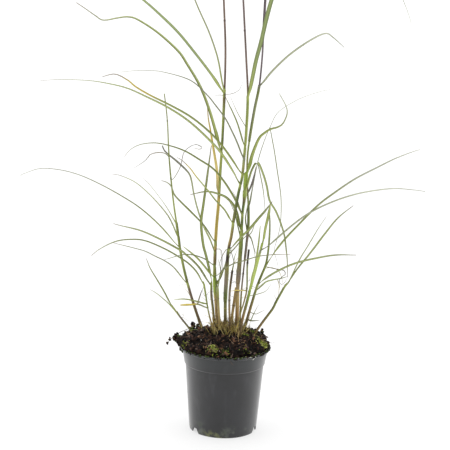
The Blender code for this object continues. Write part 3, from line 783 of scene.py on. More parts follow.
def place_on(line, down):
    """The number of the point of a line that is seen at a height in the picture."""
    return min(range(len(line)), key=lambda index: abs(seen_at(line[index])[1] - down))


# %% [markdown]
# ## Colours of the plant
# A cane is purple-brown where it is bare and old, green where it is young, and straw where a
# sheath has died. A blade is yellow-green at its base, mid green along most of its length, and
# yellow to brown at its tip. These changes run along each piece, so they are painted on its
# vertices in an attribute called tint, between a few named tones. What is finer comes from noise.

# %% Name the tones and paint between them
TONES = {
    "leaf": tone(118, 128, 62), "leaf_light": tone(146, 156, 80), "leaf_pale": tone(168, 176, 104),
    "lime": tone(142, 162, 64), "dark_green": tone(88, 102, 46), "olive": tone(128, 124, 66),
    "gold_olive": tone(186, 164, 84), "brown": tone(142, 118, 72), "umber": tone(98, 80, 50),
    "black_brown": tone(56, 46, 36), "straw": tone(200, 182, 118), "gold": tone(192, 170, 66),
    "tan": tone(168, 146, 92), "red_brown": tone(106, 86, 74), "purple": tone(96, 84, 88),
    "dusky": tone(132, 118, 104), "orange": tone(150, 118, 66), "grey_green": tone(138, 143, 100),
    "slate": tone(100, 98, 88), "sage": tone(126, 140, 86), "pale_lime": tone(172, 188, 100),
    "ash": tone(166, 168, 150), "dull_green": tone(122, 126, 98),
}


def blend(first, second, share):
    """A colour between two colours."""
    return tuple(a + (b - a) * share for a, b in zip(first, second))


def painted(stops, place):
    """The colour at a place between (place, tone) stops that rise."""
    for (low, first), (high, second) in zip(stops, stops[1:]):
        if place <= high:
            return blend(TONES[first], TONES[second], max(0.0, (place - low) / (high - low)))
    return TONES[stops[-1][1]]


def plant_bmesh():
    """An empty bmesh with a UV map and a tint for its corners."""
    shape = bmesh.new()
    shape.loops.layers.uv.new("UVMap")
    shape.verts.layers.float_color.new("tint")
    return shape


# %% [markdown]
# ## The finish of the plant
# Grass has veins that run along it, so the piece's own UV map carries them: across the blade in
# U, and decimetres along it in V. The tint is made uneven by a stretched noise, lightened along the
# midrib, darkened between the veins, and flecked with brown rust. A blade is also painted lighter in
# its middle and darker towards its edges, as painted light and shade of its folded form. Canes use
# the same recipe without the midrib and without that painted light and shade.

# %% Paint the plant
PLANT_LIGHT = 0.88


def plant_finish(name, veins, contrast, rib_and_shaded_edges, gloss):
    finish = Finish(name, Specular_IOR_Level=0.35)
    tint = finish.node("ShaderNodeAttribute", {"attribute_name": "tint"})
    where = finish.node("ShaderNodeTexCoord", output=2)
    across = finish.node("ShaderNodeSeparateXYZ", output=0, Vector=where)
    blotch = finish.noise(finish.stretched(where, 2.2, 3.4, 1.0), 1.0, 4.0)
    thread = finish.noise(finish.stretched(where, veins, 1.5, 1.0), 1.0, 2.0)
    fleck = finish.noise(finish.stretched(where, 9.0, 16.0, 1.0), 1.0, 3.0).above(0.66, 0.74)
    stripes = thread.above(0.36, 0.64) * contrast
    uneven = finish.shade(tint, PLANT_LIGHT * (1.0 - contrast * 0.5 + blotch * 0.5 - 0.25 + stripes))
    worn_and_shaded = finish.mix(fleck * 0.45, uneven, tone(84, 58, 32))
    if rib_and_shaded_edges:
        off_middle = abs(across - 0.5)
        middle = 1.0 - off_middle.above(0.03, 0.10)
        ribbed = finish.mix(middle * 0.4, worn_and_shaded, tone(170, 180, 120))
        # Painted light and shade: the middle of the blade is made lighter and its edges darker.
        worn_and_shaded = finish.shade(ribbed, 1.12 - off_middle.above(0.22, 0.48) * 0.42)
    finish.feed("Base Color", worn_and_shaded)
    finish.feed("Roughness", gloss + thread * 0.15 + blotch * 0.1)
    finish.bumps(thread + fleck * 0.3, 0.10 * MM, 0.6)
    return finish


blade_paint = plant_finish("blade_green", 30.0, 0.4, True, 0.34)
cane_paint = plant_finish("cane", 9.0, 0.8, False, 0.30)
straw_paint = plant_finish("dead_straw", 14.0, 0.6, False, 0.55)

# %% [markdown]
# ## Canes
# A cane is a tube that tapers, with a joint every few centimetres where it swells slightly and
# a sheath once grew. A flat grid is wrapped round the cane's line: its columns become the angle
# and its rows the way along, which also gives it a clean UV map. Then the seam is merged and the
# ends are closed.

# %% Wrap a grid round a line
CANE_SIDES = 12
TUBE_SIDE = Vector((0.31, 0.95, 0.05))


def grid_on(shape, columns, rows, length):
    """A new grid's corners as (column, row, corner), with V running in decimetres."""
    made = bmesh.ops.create_grid(shape, x_segments=columns, y_segments=rows, size=0.5, calc_uvs=True)
    uv = shape.loops.layers.uv.active
    for face in {face for vert in made["verts"] for face in vert.link_faces}:
        for loop in face.loops:
            loop[uv].uv.y *= length * 10
    return [(round((vert.co.x + 0.5) * columns), round((vert.co.y + 0.5) * rows), vert)
            for vert in made["verts"]]


def tube(shape, line, radii, tints, sides):
    """A closed tube round a line."""
    corners = grid_on(shape, sides, len(line) - 1, length_of(line))
    tint = shape.verts.layers.float_color["tint"]
    for column, row, vert in corners:
        ahead = ahead_at(line, row)
        side = ahead.cross(TUBE_SIDE).normalized()
        angle = 2 * math.pi * column / sides
        out = side * math.cos(angle) + ahead.cross(side) * math.sin(angle)
        vert.co = line[row] + out * radii[row]
        vert[tint] = tints[row]
    seam = [vert for column, _, vert in corners if column in (0, sides)]
    bmesh.ops.remove_doubles(shape, verts=seam, dist=0.001 * MM)


def close_ends(shape):
    """Fill every open end and turn the faces outwards."""
    bmesh.ops.holes_fill(shape, edges=[edge for edge in shape.edges if edge.is_boundary], sides=0)
    bmesh.ops.recalc_face_normals(shape, faces=shape.faces[:])


# %% Joints and tones of each cane
# Joints: the heights at which they are seen. Tones: (height seen, tone), from the top down.
JOINTS = {
    "cane_main": (300, 249, 190, 95, 20, -50), "cane_centre": (296, 251, 196, 95, 30, -40),
    "cane_green": (290, 199), "cane_right": (273, 226, 182, 110, 33, -30),
    "cane_left": (300, 270, 236, 178, 120), "shoot_far_right": (309,), "shoot_green": (300, 277),
    "shoot_right": (308, 288), "shoot_left": (305,), "stub_dead": (288, 262), "stalk_front": (303,),
    "stalk_upright": (300,), "stalk_brown": (300,), "stalk_back": (305,), "shoot_far_left": (316,),
}
CANE_TONES = {
    "shoot_far_left": [(306, "leaf_light"), (318, "dusky"), (327, "olive")],
    "cane_left": [(93, "grey_green"), (130, "grey_green"), (160, "leaf"), (200, "leaf_light"),
                  (255, "leaf_light"), (275, "leaf"), (290, "red_brown"), (306, "umber"),
                  (320, "umber")],
    "shoot_left": [(281, "leaf_light"), (300, "leaf"), (308, "olive"), (322, "brown")],
    "stalk_upright": [(283, "leaf"), (290, "dusky"), (305, "olive"), (322, "brown")],
    "cane_main": [(-60, "red_brown"), (88, "red_brown"), (98, "umber"), (112, "leaf_light"), (140, "leaf"),
                  (160, "leaf_light"), (185, "leaf_light"), (196, "gold_olive"), (240, "gold_olive"),
                  (252, "brown"), (270, "olive"), (278, "lime"), (290, "lime"), (298, "tan"),
                  (315, "brown"), (324, "umber")],
    "stalk_front": [(287, "leaf_light"), (297, "olive"), (310, "tan"), (322, "brown")],
    "cane_centre": [(-60, "purple"), (86, "red_brown"), (98, "leaf"), (150, "leaf_light"), (168, "olive"),
                    (178, "dark_green"), (200, "dark_green"), (226, "olive"), (242, "brown"),
                    (248, "black_brown"), (260, "black_brown"), (268, "olive"), (282, "dusky"),
                    (294, "dark_green"), (310, "olive"), (322, "umber")],
    "stalk_brown": [(270, "black_brown"), (286, "umber"), (296, "dusky"), (312, "brown"), (322, "umber")],
    "stalk_back": [(287, "tan"), (302, "brown"), (315, "tan"), (324, "umber")],
    "cane_green": [(172, "lime"), (194, "lime"), (199, "umber"), (206, "dark_green"), (224, "dark_green"),
                   (230, "lime"), (250, "leaf"), (262, "olive"), (273, "dusky"), (298, "tan"),
                   (312, "orange"), (323, "umber")],
    "stub_dead": [(249, "black_brown"), (261, "black_brown"), (267, "grey_green"), (285, "grey_green"),
                  (296, "brown"), (310, "olive"), (322, "tan")],
    "cane_right": [(-60, "purple"), (84, "purple"), (90, "leaf"), (104, "grey_green"), (150, "leaf"),
                   (170, "olive"), (178, "red_brown"), (190, "red_brown"), (198, "leaf"), (226, "leaf"),
                   (236, "dusky"), (256, "dusky"), (268, "red_brown"), (274, "black_brown"),
                   (280, "dusky"), (300, "olive"), (322, "umber")],
    "shoot_green": [(243, "leaf_light"), (256, "pale_lime"), (275, "pale_lime"), (296, "lime"),
                    (306, "olive"), (316, "orange"), (326, "umber")],
    "shoot_right": [(266, "leaf_light"), (285, "leaf"), (298, "olive"), (312, "brown"), (324, "umber")],
    "shoot_far_right": [(285, "leaf_light"), (302, "leaf"), (312, "olive"), (326, "brown")],
}
DEAD_CANES = {"stub_dead", "stalk_back"}

# %% Build the canes
# A joint swells by a share of the radius, over a length. Just above it the cane is a little slimmer,
# and its ring is darker.
JOINT_SWELL, JOINT_LENGTH = 0.20, 1.1 * MM
WAIST, WAIST_LENGTH, WAIST_ABOVE = 0.08, 0.9 * MM, 2.6 * MM
RING_SHADE, RING_LENGTH = 0.6, 1.2 * MM


def hump(distance, length):
    """1 at a place, falling smoothly to 0 within about twice a length."""
    return math.exp(-(distance / length) ** 2)


def make_cane(name):
    """One cane with its joints."""
    line = LINES[name]
    step = length_of(line) / (len(line) - 1)
    joints = [place_on(line, down) for down in JOINTS[name]]
    radii, tints = [], []
    for row, place in enumerate(line):
        swell = sum(JOINT_SWELL * hump((row - joint) * step, JOINT_LENGTH)
                    - WAIST * hump((row - joint) * step - WAIST_ABOVE, WAIST_LENGTH)
                    for joint in joints)
        radii.append(thickness_at(name, row / (len(line) - 1)) * (1 + swell))
        dark = max(hump((row - joint) * step, RING_LENGTH) for joint in joints)
        colour = painted(CANE_TONES[name], seen_at(place)[1])
        tints.append(tuple(c * (1 - RING_SHADE * dark) for c in colour[:3]) + (1.0,))
    shape = plant_bmesh()
    tube(shape, line, radii, tints, CANE_SIDES)
    close_ends(shape)
    dead = name in DEAD_CANES
    return settle(f"{name}_tube", shape, straw_paint if dead else cane_paint,
                  "dead_straw" if name == "stub_dead" else "cane", name)


cane_pieces = [make_cane(name) for name in CANES]
print("canes:", sum(len(piece.data.polygons) for piece in cane_pieces), "faces")

# %% [markdown]
# ## Blades and their sheaths
# A grass leaf has two parts. Its sheath is wrapped round the cane, from a joint up to the collar.
# There the leaf lets go and becomes the blade: a narrow strip with a channel along its midrib,
# which arches over and turns its face on the way. One strip makes both. Each of its cross
# sections is an arc: tightly curled round the cane in the sheath, nearly flat in the blade. The
# strip is a grid again, laid along the leaf's line, and a Solidify modifier makes it a
# third of a millimetre thick.

# %% Lay a strip along a line
BLADE_COLUMNS = 6


def eased(low, high, value):
    """0 below `low`, 1 above `high`, smooth between."""
    share = max(0.0, min(1.0, (value - low) / (high - low)))
    return share * share * (3 - 2 * share)


def strip(shape, rows, columns=BLADE_COLUMNS):
    """A strip whose rows are (middle, side, width, bend per metre, tint)."""
    middles = [row[0] for row in rows]
    corners = grid_on(shape, columns, len(rows) - 1, length_of(middles))
    tint = shape.verts.layers.float_color["tint"]
    for column, row, vert in corners:
        middle, side, width, bend, colour = rows[row]
        upper = ahead_at(middles, row).cross(side).normalized()
        out = (2 * column / columns - 1) * width / 2
        angle = out * bend
        vert.co = middle + side * (math.sin(angle) / bend) + upper * ((1 - math.cos(angle)) / bend)
        vert[tint] = colour


def thicken(piece, thickness):
    """Make strips as thick as this, half of it on either side."""
    layer = piece.modifiers.new("thickness", "SOLIDIFY")
    layer.thickness = thickness
    layer.offset = 0.0


def outward(turn, seen):
    """The level direction in which a strip leaves its cane, turned by degrees out of the view."""
    heading = math.copysign(1.0, seen[-1][0] - seen[0][0])
    return Vector((heading * math.cos(math.radians(turn)), math.sin(math.radians(turn)), 0.0))


def hung(start, out, seen):
    """The places seen after the first, in the upright plane through a start."""
    across = UP.cross(out)
    return [start] + [meet(place, start, across) for place in seen[1:]]


# %% Tones, forms and sheaths of the leaves
LEAF_TAPER = 2.1
LEAF_BASE = 0.6
LEAF_GROWTH = 0.35
LEAF_TIP = 0.07
LEAF_EDGE_ON = 0.35
LEAF_THICKNESS = 0.3 * MM
STAND_OFF = 0.126
SHEATH_CURL = 2.7
SHEATH_GAP = 0.2
SHEATH_LONGEST = 80 * MM
COLLAR = 12 * MM
SHEATH_BLEND = 10 * MM
# How far the sheaths stand off a cane: (height seen, mm), from the top down.
SHEATH_LOOSE = {
    "cane_green": [(195, 0.8), (200, 0.15), (226, 0.15), (232, 0.9), (246, 0.9), (256, 0.4), (290, 0.6)],
    "cane_main": [(190, 0.3), (270, 0.2), (278, 0.9), (291, 0.9), (298, 0.2)],
    "cane_centre": [(150, 0.3), (170, 0.15), (262, 0.1), (270, 0.4)],
    "stalk_front": [(280, 0.6), (292, 0.6), (300, 0.2)], "shoot_left": [(285, 0.3), (300, 0.0)],
    "shoot_green": [(250, 0.2), (270, 0.5), (300, 0.3)],
}
BLADE_CURL = 0.55
LEAF_STYLES = {
    "fresh": [(0.0, "leaf_light"), (0.12, "leaf"), (0.6, "leaf"), (0.9, "grey_green"), (1.0, "dusky")],
    "young": [(0.0, "lime"), (0.2, "leaf_light"), (0.8, "leaf_light"), (1.0, "leaf_pale")],
    "greying": [(0.0, "leaf_light"), (0.3, "grey_green"), (0.8, "grey_green"), (1.0, "dusky")],
    "yellowing": [(0.0, "leaf_light"), (0.3, "leaf"), (0.62, "leaf_light"), (0.74, "gold"),
                  (0.84, "gold"), (0.9, "dusky"), (1.0, "dusky")],
    "drying": [(0.0, "leaf_light"), (0.3, "leaf"), (0.7, "leaf"), (0.85, "grey_green"), (1.0, "dusky")],
    "withered": [(0.0, "leaf_light"), (0.35, "leaf"), (0.6, "grey_green"), (0.72, "slate"), (1.0, "slate")],
    "grey_leaf": [(0.0, "leaf_light"), (0.25, "sage"), (0.8, "sage"), (1.0, "grey_green")],
    "paling": [(0.0, "leaf_light"), (0.3, "leaf"), (0.5, "grey_green"), (0.7, "ash"), (1.0, "ash")],
    "curled": [(0.0, "lime"), (0.2, "leaf_light"), (0.5, "leaf_light"), (0.75, "grey_green"), (1.0, "ash")],
    "ashen": [(0.0, "dull_green"), (0.5, "dull_green"), (0.8, "ash"), (1.0, "ash")],
    "gilded": [(0.0, "grey_green"), (0.35, "grey_green"), (0.5, "gold"), (1.0, "gold")],
    "faded": [(0.0, "grey_green"), (0.6, "grey_green"), (1.0, "dusky")],
    "dead": [(0.0, "olive"), (0.2, "straw"), (0.7, "gold"), (1.0, "tan")],
    "dark": [(0.0, "dark_green"), (0.3, "purple"), (0.8, "purple"), (1.0, "umber")],
    "dry": [(0.0, "grey_green"), (0.3, "dusky"), (0.7, "slate"), (1.0, "dusky")],
}
# How broad each kind of leaf looks (mm) at a tenth, half and four fifths of its length and at its
# tip. What is missing to its full width is turned away from the viewer.
LEAF_FORMS = {
    "widest": (5.4, 6.0, 5.2, 2.0), "wide": (3.6, 3.8, 3.0, 0.9), "medium": (2.9, 2.7, 2.1, 0.7),
    "narrow": (2.3, 1.9, 1.5, 0.6), "thin": (1.8, 1.25, 0.95, 0.5), "thread": (1.3, 0.5, 0.45, 0.35),
    "turning": (3.4, 2.4, 0.7, 0.3), "fading": (4.3, 3.4, 2.0, 0.9), "broad_tip": (3.2, 3.6, 4.0, 1.3),
    "slow": (1.9, 2.6, 2.1, 0.7), "bar": (2.0, 2.6, 3.0, 1.6), "vanishing": (2.1, 1.3, 0.6, 0.4),
    "curling": (2.2, 1.9, 3.0, 1.8), "late": (1.8, 3.7, 3.2, 0.9), "easing": (3.0, 2.3, 1.1, 0.4),
    "sweeping": (5.2, 3.0, 1.4, 1.0),
}
# The style and the form of each cane's leaves, in the order of its blades.
LOOKS = {
    "shoot_far_left": ["fresh narrow", "fresh thin"],
    "cane_left": ["greying thin", "paling thin", "greying thin", "greying thread"],
    "shoot_left": ["fresh narrow", "gilded bar", "young narrow"],
    "stalk_upright": ["fresh medium", "fresh wide"],
    "cane_main": ["young medium", "fresh thin", "withered curling", "fresh slow", "dead fading",
                  "drying fading", "grey_leaf wide", "greying narrow"],
    "stalk_front": ["faded thin"],
    "cane_centre": ["fresh late", "yellowing narrow", "drying turning", "yellowing medium",
                    "ashen vanishing", "fresh narrow", "grey_leaf widest"],
    "cane_green": ["fresh fading", "fresh easing", "fresh medium", "curled sweeping"],
    "cane_right": ["ashen thread", "ashen medium", "paling easing"],
    "shoot_green": ["young medium", "ashen narrow", "young broad_tip"],
    "shoot_right": ["fresh narrow", "fresh medium", "fresh medium", "paling medium"],
    "shoot_far_right": ["fresh thin", "fresh slow"],
}
FORM_PLACES = (0.1, 0.5, 0.8, 1.0)
DEAD_LEAVES = {"cane_main_blade_3", "cane_main_blade_5", "cane_centre_blade_2"}
BLADE_LINES = {}

# %% Find the width and the turn of a leaf
def shown(form, share):
    """How broad a leaf looks at a share of its length."""
    return along(list(zip(FORM_PLACES, LEAF_FORMS[form])), share) * MM


def faced(place, ahead, across, share_shown):
    """The angles round `ahead` that turn `across` until it shows this share of itself."""
    level = ahead.cross(place - EYE).normalized()
    away = ahead.cross(level).normalized()
    angles = []
    for heading in (1, -1):
        for depth in (1, -1):
            goal = level * share_shown * heading + away * math.sqrt(1 - share_shown ** 2) * depth
            angles.append(math.atan2(across.cross(goal).dot(ahead), across.dot(goal)))
    return angles


def leaf_width(share):
    """Width at a share of the blade's length, as a share of its full width."""
    growth = math.sin(min(1.0, share / LEAF_GROWTH) * math.pi / 2)
    return max((LEAF_BASE + (1 - LEAF_BASE) * growth) * (1 - share ** LEAF_TAPER), LEAF_TIP)


# %% Build the leaves
def leaf_rows(cane, leaf, form, stops, sheath_end):
    """The rows of one leaf: the sheath from just above `sheath_end`, then the blade."""
    turn, width, face_turn, seen = leaf
    width *= MM
    line = LINES[cane]
    out = outward(turn, seen)
    across = UP.cross(out)
    height = meet(seen[0], *cane_plane(cane)).z
    collar = min(range(len(line)), key=lambda index: abs(line[index].z - height))
    skin = thickness_at(cane, collar / (len(line) - 1))
    points = hung(line[collar] + out * (skin + GAP + STAND_OFF * width), out, seen)
    total = length_of(points)
    blade = curve_through(points, max(14, int(total / LEAF_STEP)))
    loose = SHEATH_LOOSE.get(cane, [(0, 0.3), (300, 0.3)])
    hug = skin + (SHEATH_GAP + along(loose, seen[0][1])) * MM
    rows = []
    step = length_of(line) / (len(line) - 1)
    start = max(sheath_end, collar - int(SHEATH_LONGEST / step))
    for index in range(start, collar, 2):
        down, left = seen_at(line[index])[1], (collar - index) * step
        off = along(loose, down) * eased(0.0, 6 * MM, (index - start) * step)
        inside = thickness_at(cane, index / (len(line) - 1)) + (SHEATH_GAP + off) * MM
        wide = 2 * SHEATH_CURL * inside * (0.7 + 0.3 * eased(0.0, 3 * MM, left))
        colour = blend(painted(stops, 0.0), painted(CANE_TONES[cane], down),
                       eased(0.0, SHEATH_BLEND, left))
        rows.append((line[index] + out * inside, across, wide, 1 / inside, colour))
    turned = math.copysign(0.5, face_turn)
    for index, place in enumerate(blade):
        share = index / (len(blade) - 1)
        gone = share * total
        ahead = ahead_at(blade, index)
        show = shown(form, share)
        narrow = min(max(width * leaf_width(share), show), show / LEAF_EDGE_ON)
        turned = min(faced(place, ahead, across, show / narrow),
                     key=lambda angle: abs(angle - turned))
        side = Matrix.Rotation(turned * eased(0.0, 0.12, share), 3, ahead) @ across
        free = eased(0.0, COLLAR, gone)
        wide = narrow + (1 - eased(0.0, 5 * MM, gone)) * (SHEATH_CURL * hug)
        bend = (1 - free) / hug + free * 2 * BLADE_CURL / narrow
        place = place - out * (STAND_OFF * width) * (1 - free)
        rows.append((place, side, wide, bend, painted(stops, share)))
    return rows, blade


def make_leaf(cane, number, leaf, sheath_end):
    """One leaf of a cane, as its own piece."""
    name = f"{cane}_blade_{number}"
    style, form = LOOKS[cane][number - 1].split()
    rows, BLADE_LINES[name] = leaf_rows(cane, leaf, form, LEAF_STYLES[style], sheath_end)
    shape = plant_bmesh()
    strip(shape, rows)
    piece = settle(f"{name}_leaf", shape, straw_paint if style == "dead" else blade_paint,
                   "dead_straw" if name in DEAD_LEAVES else "blade_green", name)
    thicken(piece, LEAF_THICKNESS)
    return piece


leaf_pieces = []
for cane, leaves in BLADES.items():
    collars = sorted(place_on(LINES[cane], leaf[-1][0][1]) for leaf in leaves)
    for number, leaf in enumerate(leaves, 1):
        collar = place_on(LINES[cane], leaf[-1][0][1])
        below = max([c for c in collars if c < collar], default=4)
        leaf_pieces.append(make_leaf(cane, number, leaf, below))
print("leaves:", len(leaf_pieces), "with", sum(len(piece.data.polygons) for piece in leaf_pieces), "faces")

# %% [markdown]
# ## Wisps
# Between the leaves hang dry threads, curled ligules and small torn strips. They are finer than
# the nodes of the frame, so they are strips in one joined mesh. Each starts on the cane or the
# blade that carries it, and hangs in an upright plane as a blade does.

# %% List the wisps
WISP_THICKNESS = 0.2 * MM
# (what carries it, degrees out of the view's plane, width or widths in mm, tones, places seen)
WISPS = [
    ("cane_left", -20, 1.6, "dry", [(169, 157), (165, 153), (158, 152), (150, 154), (145, 160),
                                    (133, 168)]),
    ("cane_left", -35, (1.2, 4.2), "dry", [(171, 180), (174, 177), (180, 166), (183, 153), (187, 148),
                                           (191.5, 145), (197, 144), (202, 147), (199, 148.8),
                                           (194, 147.5)]),
    ("cane_main", -30, 0.8, "dry", [(224, 95), (220, 94.5), (214, 95)]),
    ("cane_main", 30, 0.8, "dry", [(224, 94), (232, 93), (239, 89), (243, 80)]),
    ("cane_green_blade_3", -30, 1.6, "faded", [(258, 162), (263, 190), (265, 215)]),
    ("cane_right_blade_1", 10, 1.6, "faded", [(270, 128), (274, 150), (277, 170), (280, 190), (281, 205),
                                              (280, 225), (277, 238), (274, 250), (277, 262), (278, 270)]),
    ("shoot_right_blade_1", 20, 1.4, "dead", [(278, 278), (279, 285), (278, 295)]),
    ("cane_centre", -40, 1.2, "faded", [(246, 128), (241, 119), (236, 110), (230, 96)]),
    ("shoot_left_blade_2", 30, 2.2, "dry", [(198, 304), (199, 297), (201, 291), (203.5, 286)]),
    ("stalk_upright", -15, 1.6, "faded", [(211, 284), (208, 281), (197, 265), (183, 253)]),
    ("cane_centre", -30, 1.4, "dry", [(228, 248), (225, 250), (221, 258), (218, 266)]),
    ("cane_centre", 60, 1.2, "dry", [(229, 246), (231.5, 253), (233, 259), (234, 263), (232, 268)]),
    ("cane_main", -60, 1.2, "dry", [(215, 248), (221, 250), (222, 265), (222, 275)]),
    ("stalk_brown", -20, 1.8, "dead", [(229.5, 283), (232, 268), (234, 262), (238, 257)]),
    ("cane_right", -30, 1.4, "faded", [(247, 236), (250, 235), (254, 250), (255, 262)]),
    ("shoot_green", 30, 1.4, "faded", [(248, 296), (259, 293), (266, 290), (271, 283)]),
    ("stub_dead", -50, 2.2, "dead", [(246.5, 290), (241, 290), (235, 290), (229, 291)]),
    ("shoot_right", 35, 1.6, "dry", [(268, 266), (274, 268), (279, 269), (284, 270), (285, 274), (282, 276),
                                     (279, 280), (281, 284), (285, 281), (288, 275)]),
    ("shoot_right", 20, 1.9, "faded", [(247, 318), (250, 320.5), (252, 316), (256, 308), (258.5, 304)]),
    ("shoot_right", 10, 2.4, "faded", [(247, 318), (250, 320), (255, 320), (260, 319.5)]),
    ("shoot_right", 15, 1.3, "faded", [(249, 311), (255, 313.5), (260, 311.5), (265, 309)]),
    ("cane_main", -20, 1.2, "faded", [(214.5, 276), (219, 273), (224, 266), (229, 257), (232, 246)]),
    ("stalk_front", 10, 1.0, "dry", [(217.5, 291), (220, 272), (221, 258), (219, 247)]),
    ("cane_right", -10, 2.4, "fresh", [(248, 234), (246, 226), (245, 218), (246.5, 208), (248, 199)]),
    ("cane_centre", -40, 2.0, "faded", [(228, 254), (232, 250), (236, 245.5), (240, 240.5),
                                        (245, 236), (251, 228)]),
    ("cane_green", -10, 2.2, "fresh", [(241, 240), (238.5, 230), (236.5, 222), (234.5, 213), (231, 205),
                                       (227.5, 198)]),
    ("cane_green", 20, 2.0, "faded", [(242, 216), (239.5, 208), (237, 200), (232, 190)]),
    ("cane_main", -40, 3.0, "young", [(215, 286), (219, 279), (222, 272), (224.5, 264), (226, 257)]),
    ("cane_main", -50, 2.4, "fresh", [(215, 284), (220, 276), (220, 268), (217.5, 258)]),
    ("stalk_brown", -15, 1.8, "fresh", [(231.5, 272), (233, 265), (234, 257), (237, 249)]),
    ("cane_right", 25, 2.2, "faded", [(248, 234), (251, 238), (253, 245), (255.5, 253)]),
    ("cane_right", 30, 1.6, "faded", [(248, 236), (251, 232), (253.5, 226), (255, 221)]),
    ("cane_right", 20, 3.4, "dark", [(248, 193), (250, 187), (252, 181), (254, 173), (255.5, 166)]),
    ("shoot_right", 40, 1.2, "dead", [(264, 268), (271, 267), (278, 270), (281, 276), (283, 285)]),
]

# %% Hang the wisps and the torn threads
def wisp(shape, carrier, turn, width, style, seen):
    """One hanging strip. Its width may be a pair: along most of it, and towards its tip."""
    width, tip_width = width if isinstance(width, tuple) else (width, width)
    line = LINES.get(carrier) or BLADE_LINES[carrier]
    start = min(line, key=lambda place: math.dist(seen_at(place), seen[0]))
    points = hung(start, outward(turn, seen), seen)
    line = curve_through(points, max(8, int(length_of(points) / LEAF_STEP)))
    rows = []
    for index, place in enumerate(line):
        share = index / (len(line) - 1)
        wide = (width + (tip_width - width) * eased(0.7, 0.85, share)) * MM
        wide *= max(0.2, math.sin(math.pi * (0.25 + 0.7 * share)))
        ahead = ahead_at(line, index)
        level = ahead.cross(place - EYE).normalized()
        side = Matrix.Rotation(0.3 + 0.8 * share, 3, ahead) @ level
        rows.append((place, side, wide, 1.2 / wide, painted(LEAF_STYLES[style], share)))
    strip(shape, rows, 2)


def shaken(chance, spread):
    """A small random push."""
    return Vector([chance.gauss(0, spread) for _ in range(3)])


def torn_threads(shape, count, chance):
    """Short threads and ligules that stand off the lower parts of the canes."""
    names = [name for name in CANES if len(LINES[name]) > 30]
    for _ in range(count):
        line = LINES[chance.choice(names)]
        start = line[int(chance.uniform(0, min(70, len(line) - 2)))]
        angle = chance.uniform(0, math.tau)
        direction = Vector((math.cos(angle), math.sin(angle), chance.uniform(0.2, 1.4))).normalized()
        points = [start]
        for _ in range(4):
            points.append(points[-1] + direction * chance.uniform(1.5, 5.0) * MM)
            direction = (direction + shaken(chance, 0.3) - UP * 0.2).normalized()
        middle = curve_through(points, 10)
        across = direction.cross(points[1] - start).normalized()
        wide = chance.uniform(0.35, 1.0) * MM
        colour = TONES[chance.choice(["dusky", "grey_green", "straw", "leaf", "tan", "purple"])]
        strip(shape, [(place, across, wide * (1 - 0.08 * step), 1.2 / wide, colour)
                      for step, place in enumerate(middle)], 2)


wisp_shape = plant_bmesh()
for entry in WISPS:
    wisp(wisp_shape, *entry)
torn_threads(wisp_shape, 150, random.Random(19))
thicken(settle("wisps", wisp_shape, blade_paint, "dead_straw"), WISP_THICKNESS)
print("wisps:", len(WISPS))

# %% [markdown]
# ## What lies on the soil
# The heap is bark soil: flat chips at all angles, crumbs, dead roots, and a few tufts of moss.
# Each kind is one joined mesh of small shapes. To lie on the heap, a piece is dropped onto it
# from above and turned to the slope that it hits.

# %% Drop things on the heap
def drop(across, depth):
    """The point of the heap under a place, and its slope there."""
    place, slope, _, _ = ground.ray_cast(Vector((across, depth, POT_HEIGHT + 60 * MM)), -UP)
    return place, slope


def scatter(chance, reach):
    """A random place on the heap, as a point and a turn that stands on its slope."""
    while True:
        x, y = (chance.uniform(-reach, reach) for _ in range(2))
        if math.hypot(x, y) < reach:
            place, slope = drop(x, y)
            if place and place.z > POT_HEIGHT - 2 * MM:
                return place, slope.to_track_quat("Z", "Y").to_matrix().to_4x4()


def jittered(chance, verts, amount):
    """Move each corner a little, so that no two chips are alike."""
    for vert in verts:
        vert.co += Vector([chance.uniform(-amount, amount) for _ in range(3)])


def brown(chance, *names):
    """One of the named tones, a little lighter or darker."""
    light = chance.uniform(0.5, 1.5)
    return tuple(c * light for c in SOIL_TONES[chance.choice(names)][:3]) + (1.0,)


def tinted(shape, verts, colour):
    """Paint some corners in one colour."""
    tint = shape.verts.layers.float_color["tint"]
    for vert in verts:
        vert[tint] = colour


def ball(shape, place, radius):
    """The corners of a new small ball, at a point or a matrix."""
    matrix = place if isinstance(place, Matrix) else Matrix.Translation(place)
    return bmesh.ops.create_icosphere(shape, subdivisions=1, radius=radius, matrix=matrix)["verts"]


def crumb(shape, chance, place, radius, rough, *names):
    """A ball made rough by a share of its radius, in one of the named tones."""
    made = ball(shape, place, radius)
    jittered(chance, made, radius * rough)
    tinted(shape, made, brown(chance, *names))


SOIL_TONES = {
    "peat": tone(10, 7, 6), "bark": tone(46, 30, 24), "warm_bark": tone(92, 66, 48),
    "grey_bark": tone(84, 70, 62), "root": tone(166, 138, 100), "moss": tone(142, 152, 58),
    "moss_pale": tone(188, 188, 116), "moss_dark": tone(64, 80, 36), "perlite": tone(226, 224, 212),
}

# %% Bark chips and crumbs
CHIP_COUNT, CRUMB_COUNT, RIM_CRUMB_COUNT = 520, 700, 420
CHIP_LEAN = 0.45


def bark_chips(count, chance):
    """Flat chips of bark."""
    shape = plant_bmesh()
    for _ in range(count):
        place, turn = scatter(chance, RIM_RADIUS + 8 * MM)
        length, breadth = chance.uniform(2.5, 8.0) * MM, chance.uniform(1.6, 3.6) * MM
        made = bmesh.ops.create_cube(shape, size=1.0, matrix=Matrix.Diagonal(
            (length, breadth, chance.uniform(0.6, 1.6) * MM, 1.0)))["verts"]
        jittered(chance, made, 0.5 * MM)
        lean = (Matrix.Rotation(chance.uniform(0, math.tau), 4, "Z")
                @ Matrix.Rotation(chance.gauss(0, CHIP_LEAN), 4, "X")
                @ Matrix.Rotation(chance.gauss(0, CHIP_LEAN), 4, "Y"))
        bmesh.ops.transform(shape, verts=made,
                            matrix=Matrix.Translation(place + UP * 0.3 * MM) @ turn @ lean)
        tinted(shape, made, brown(chance, "peat", "peat", "peat", "bark", "bark", "warm_bark",
                                  "grey_bark"))
    return shape


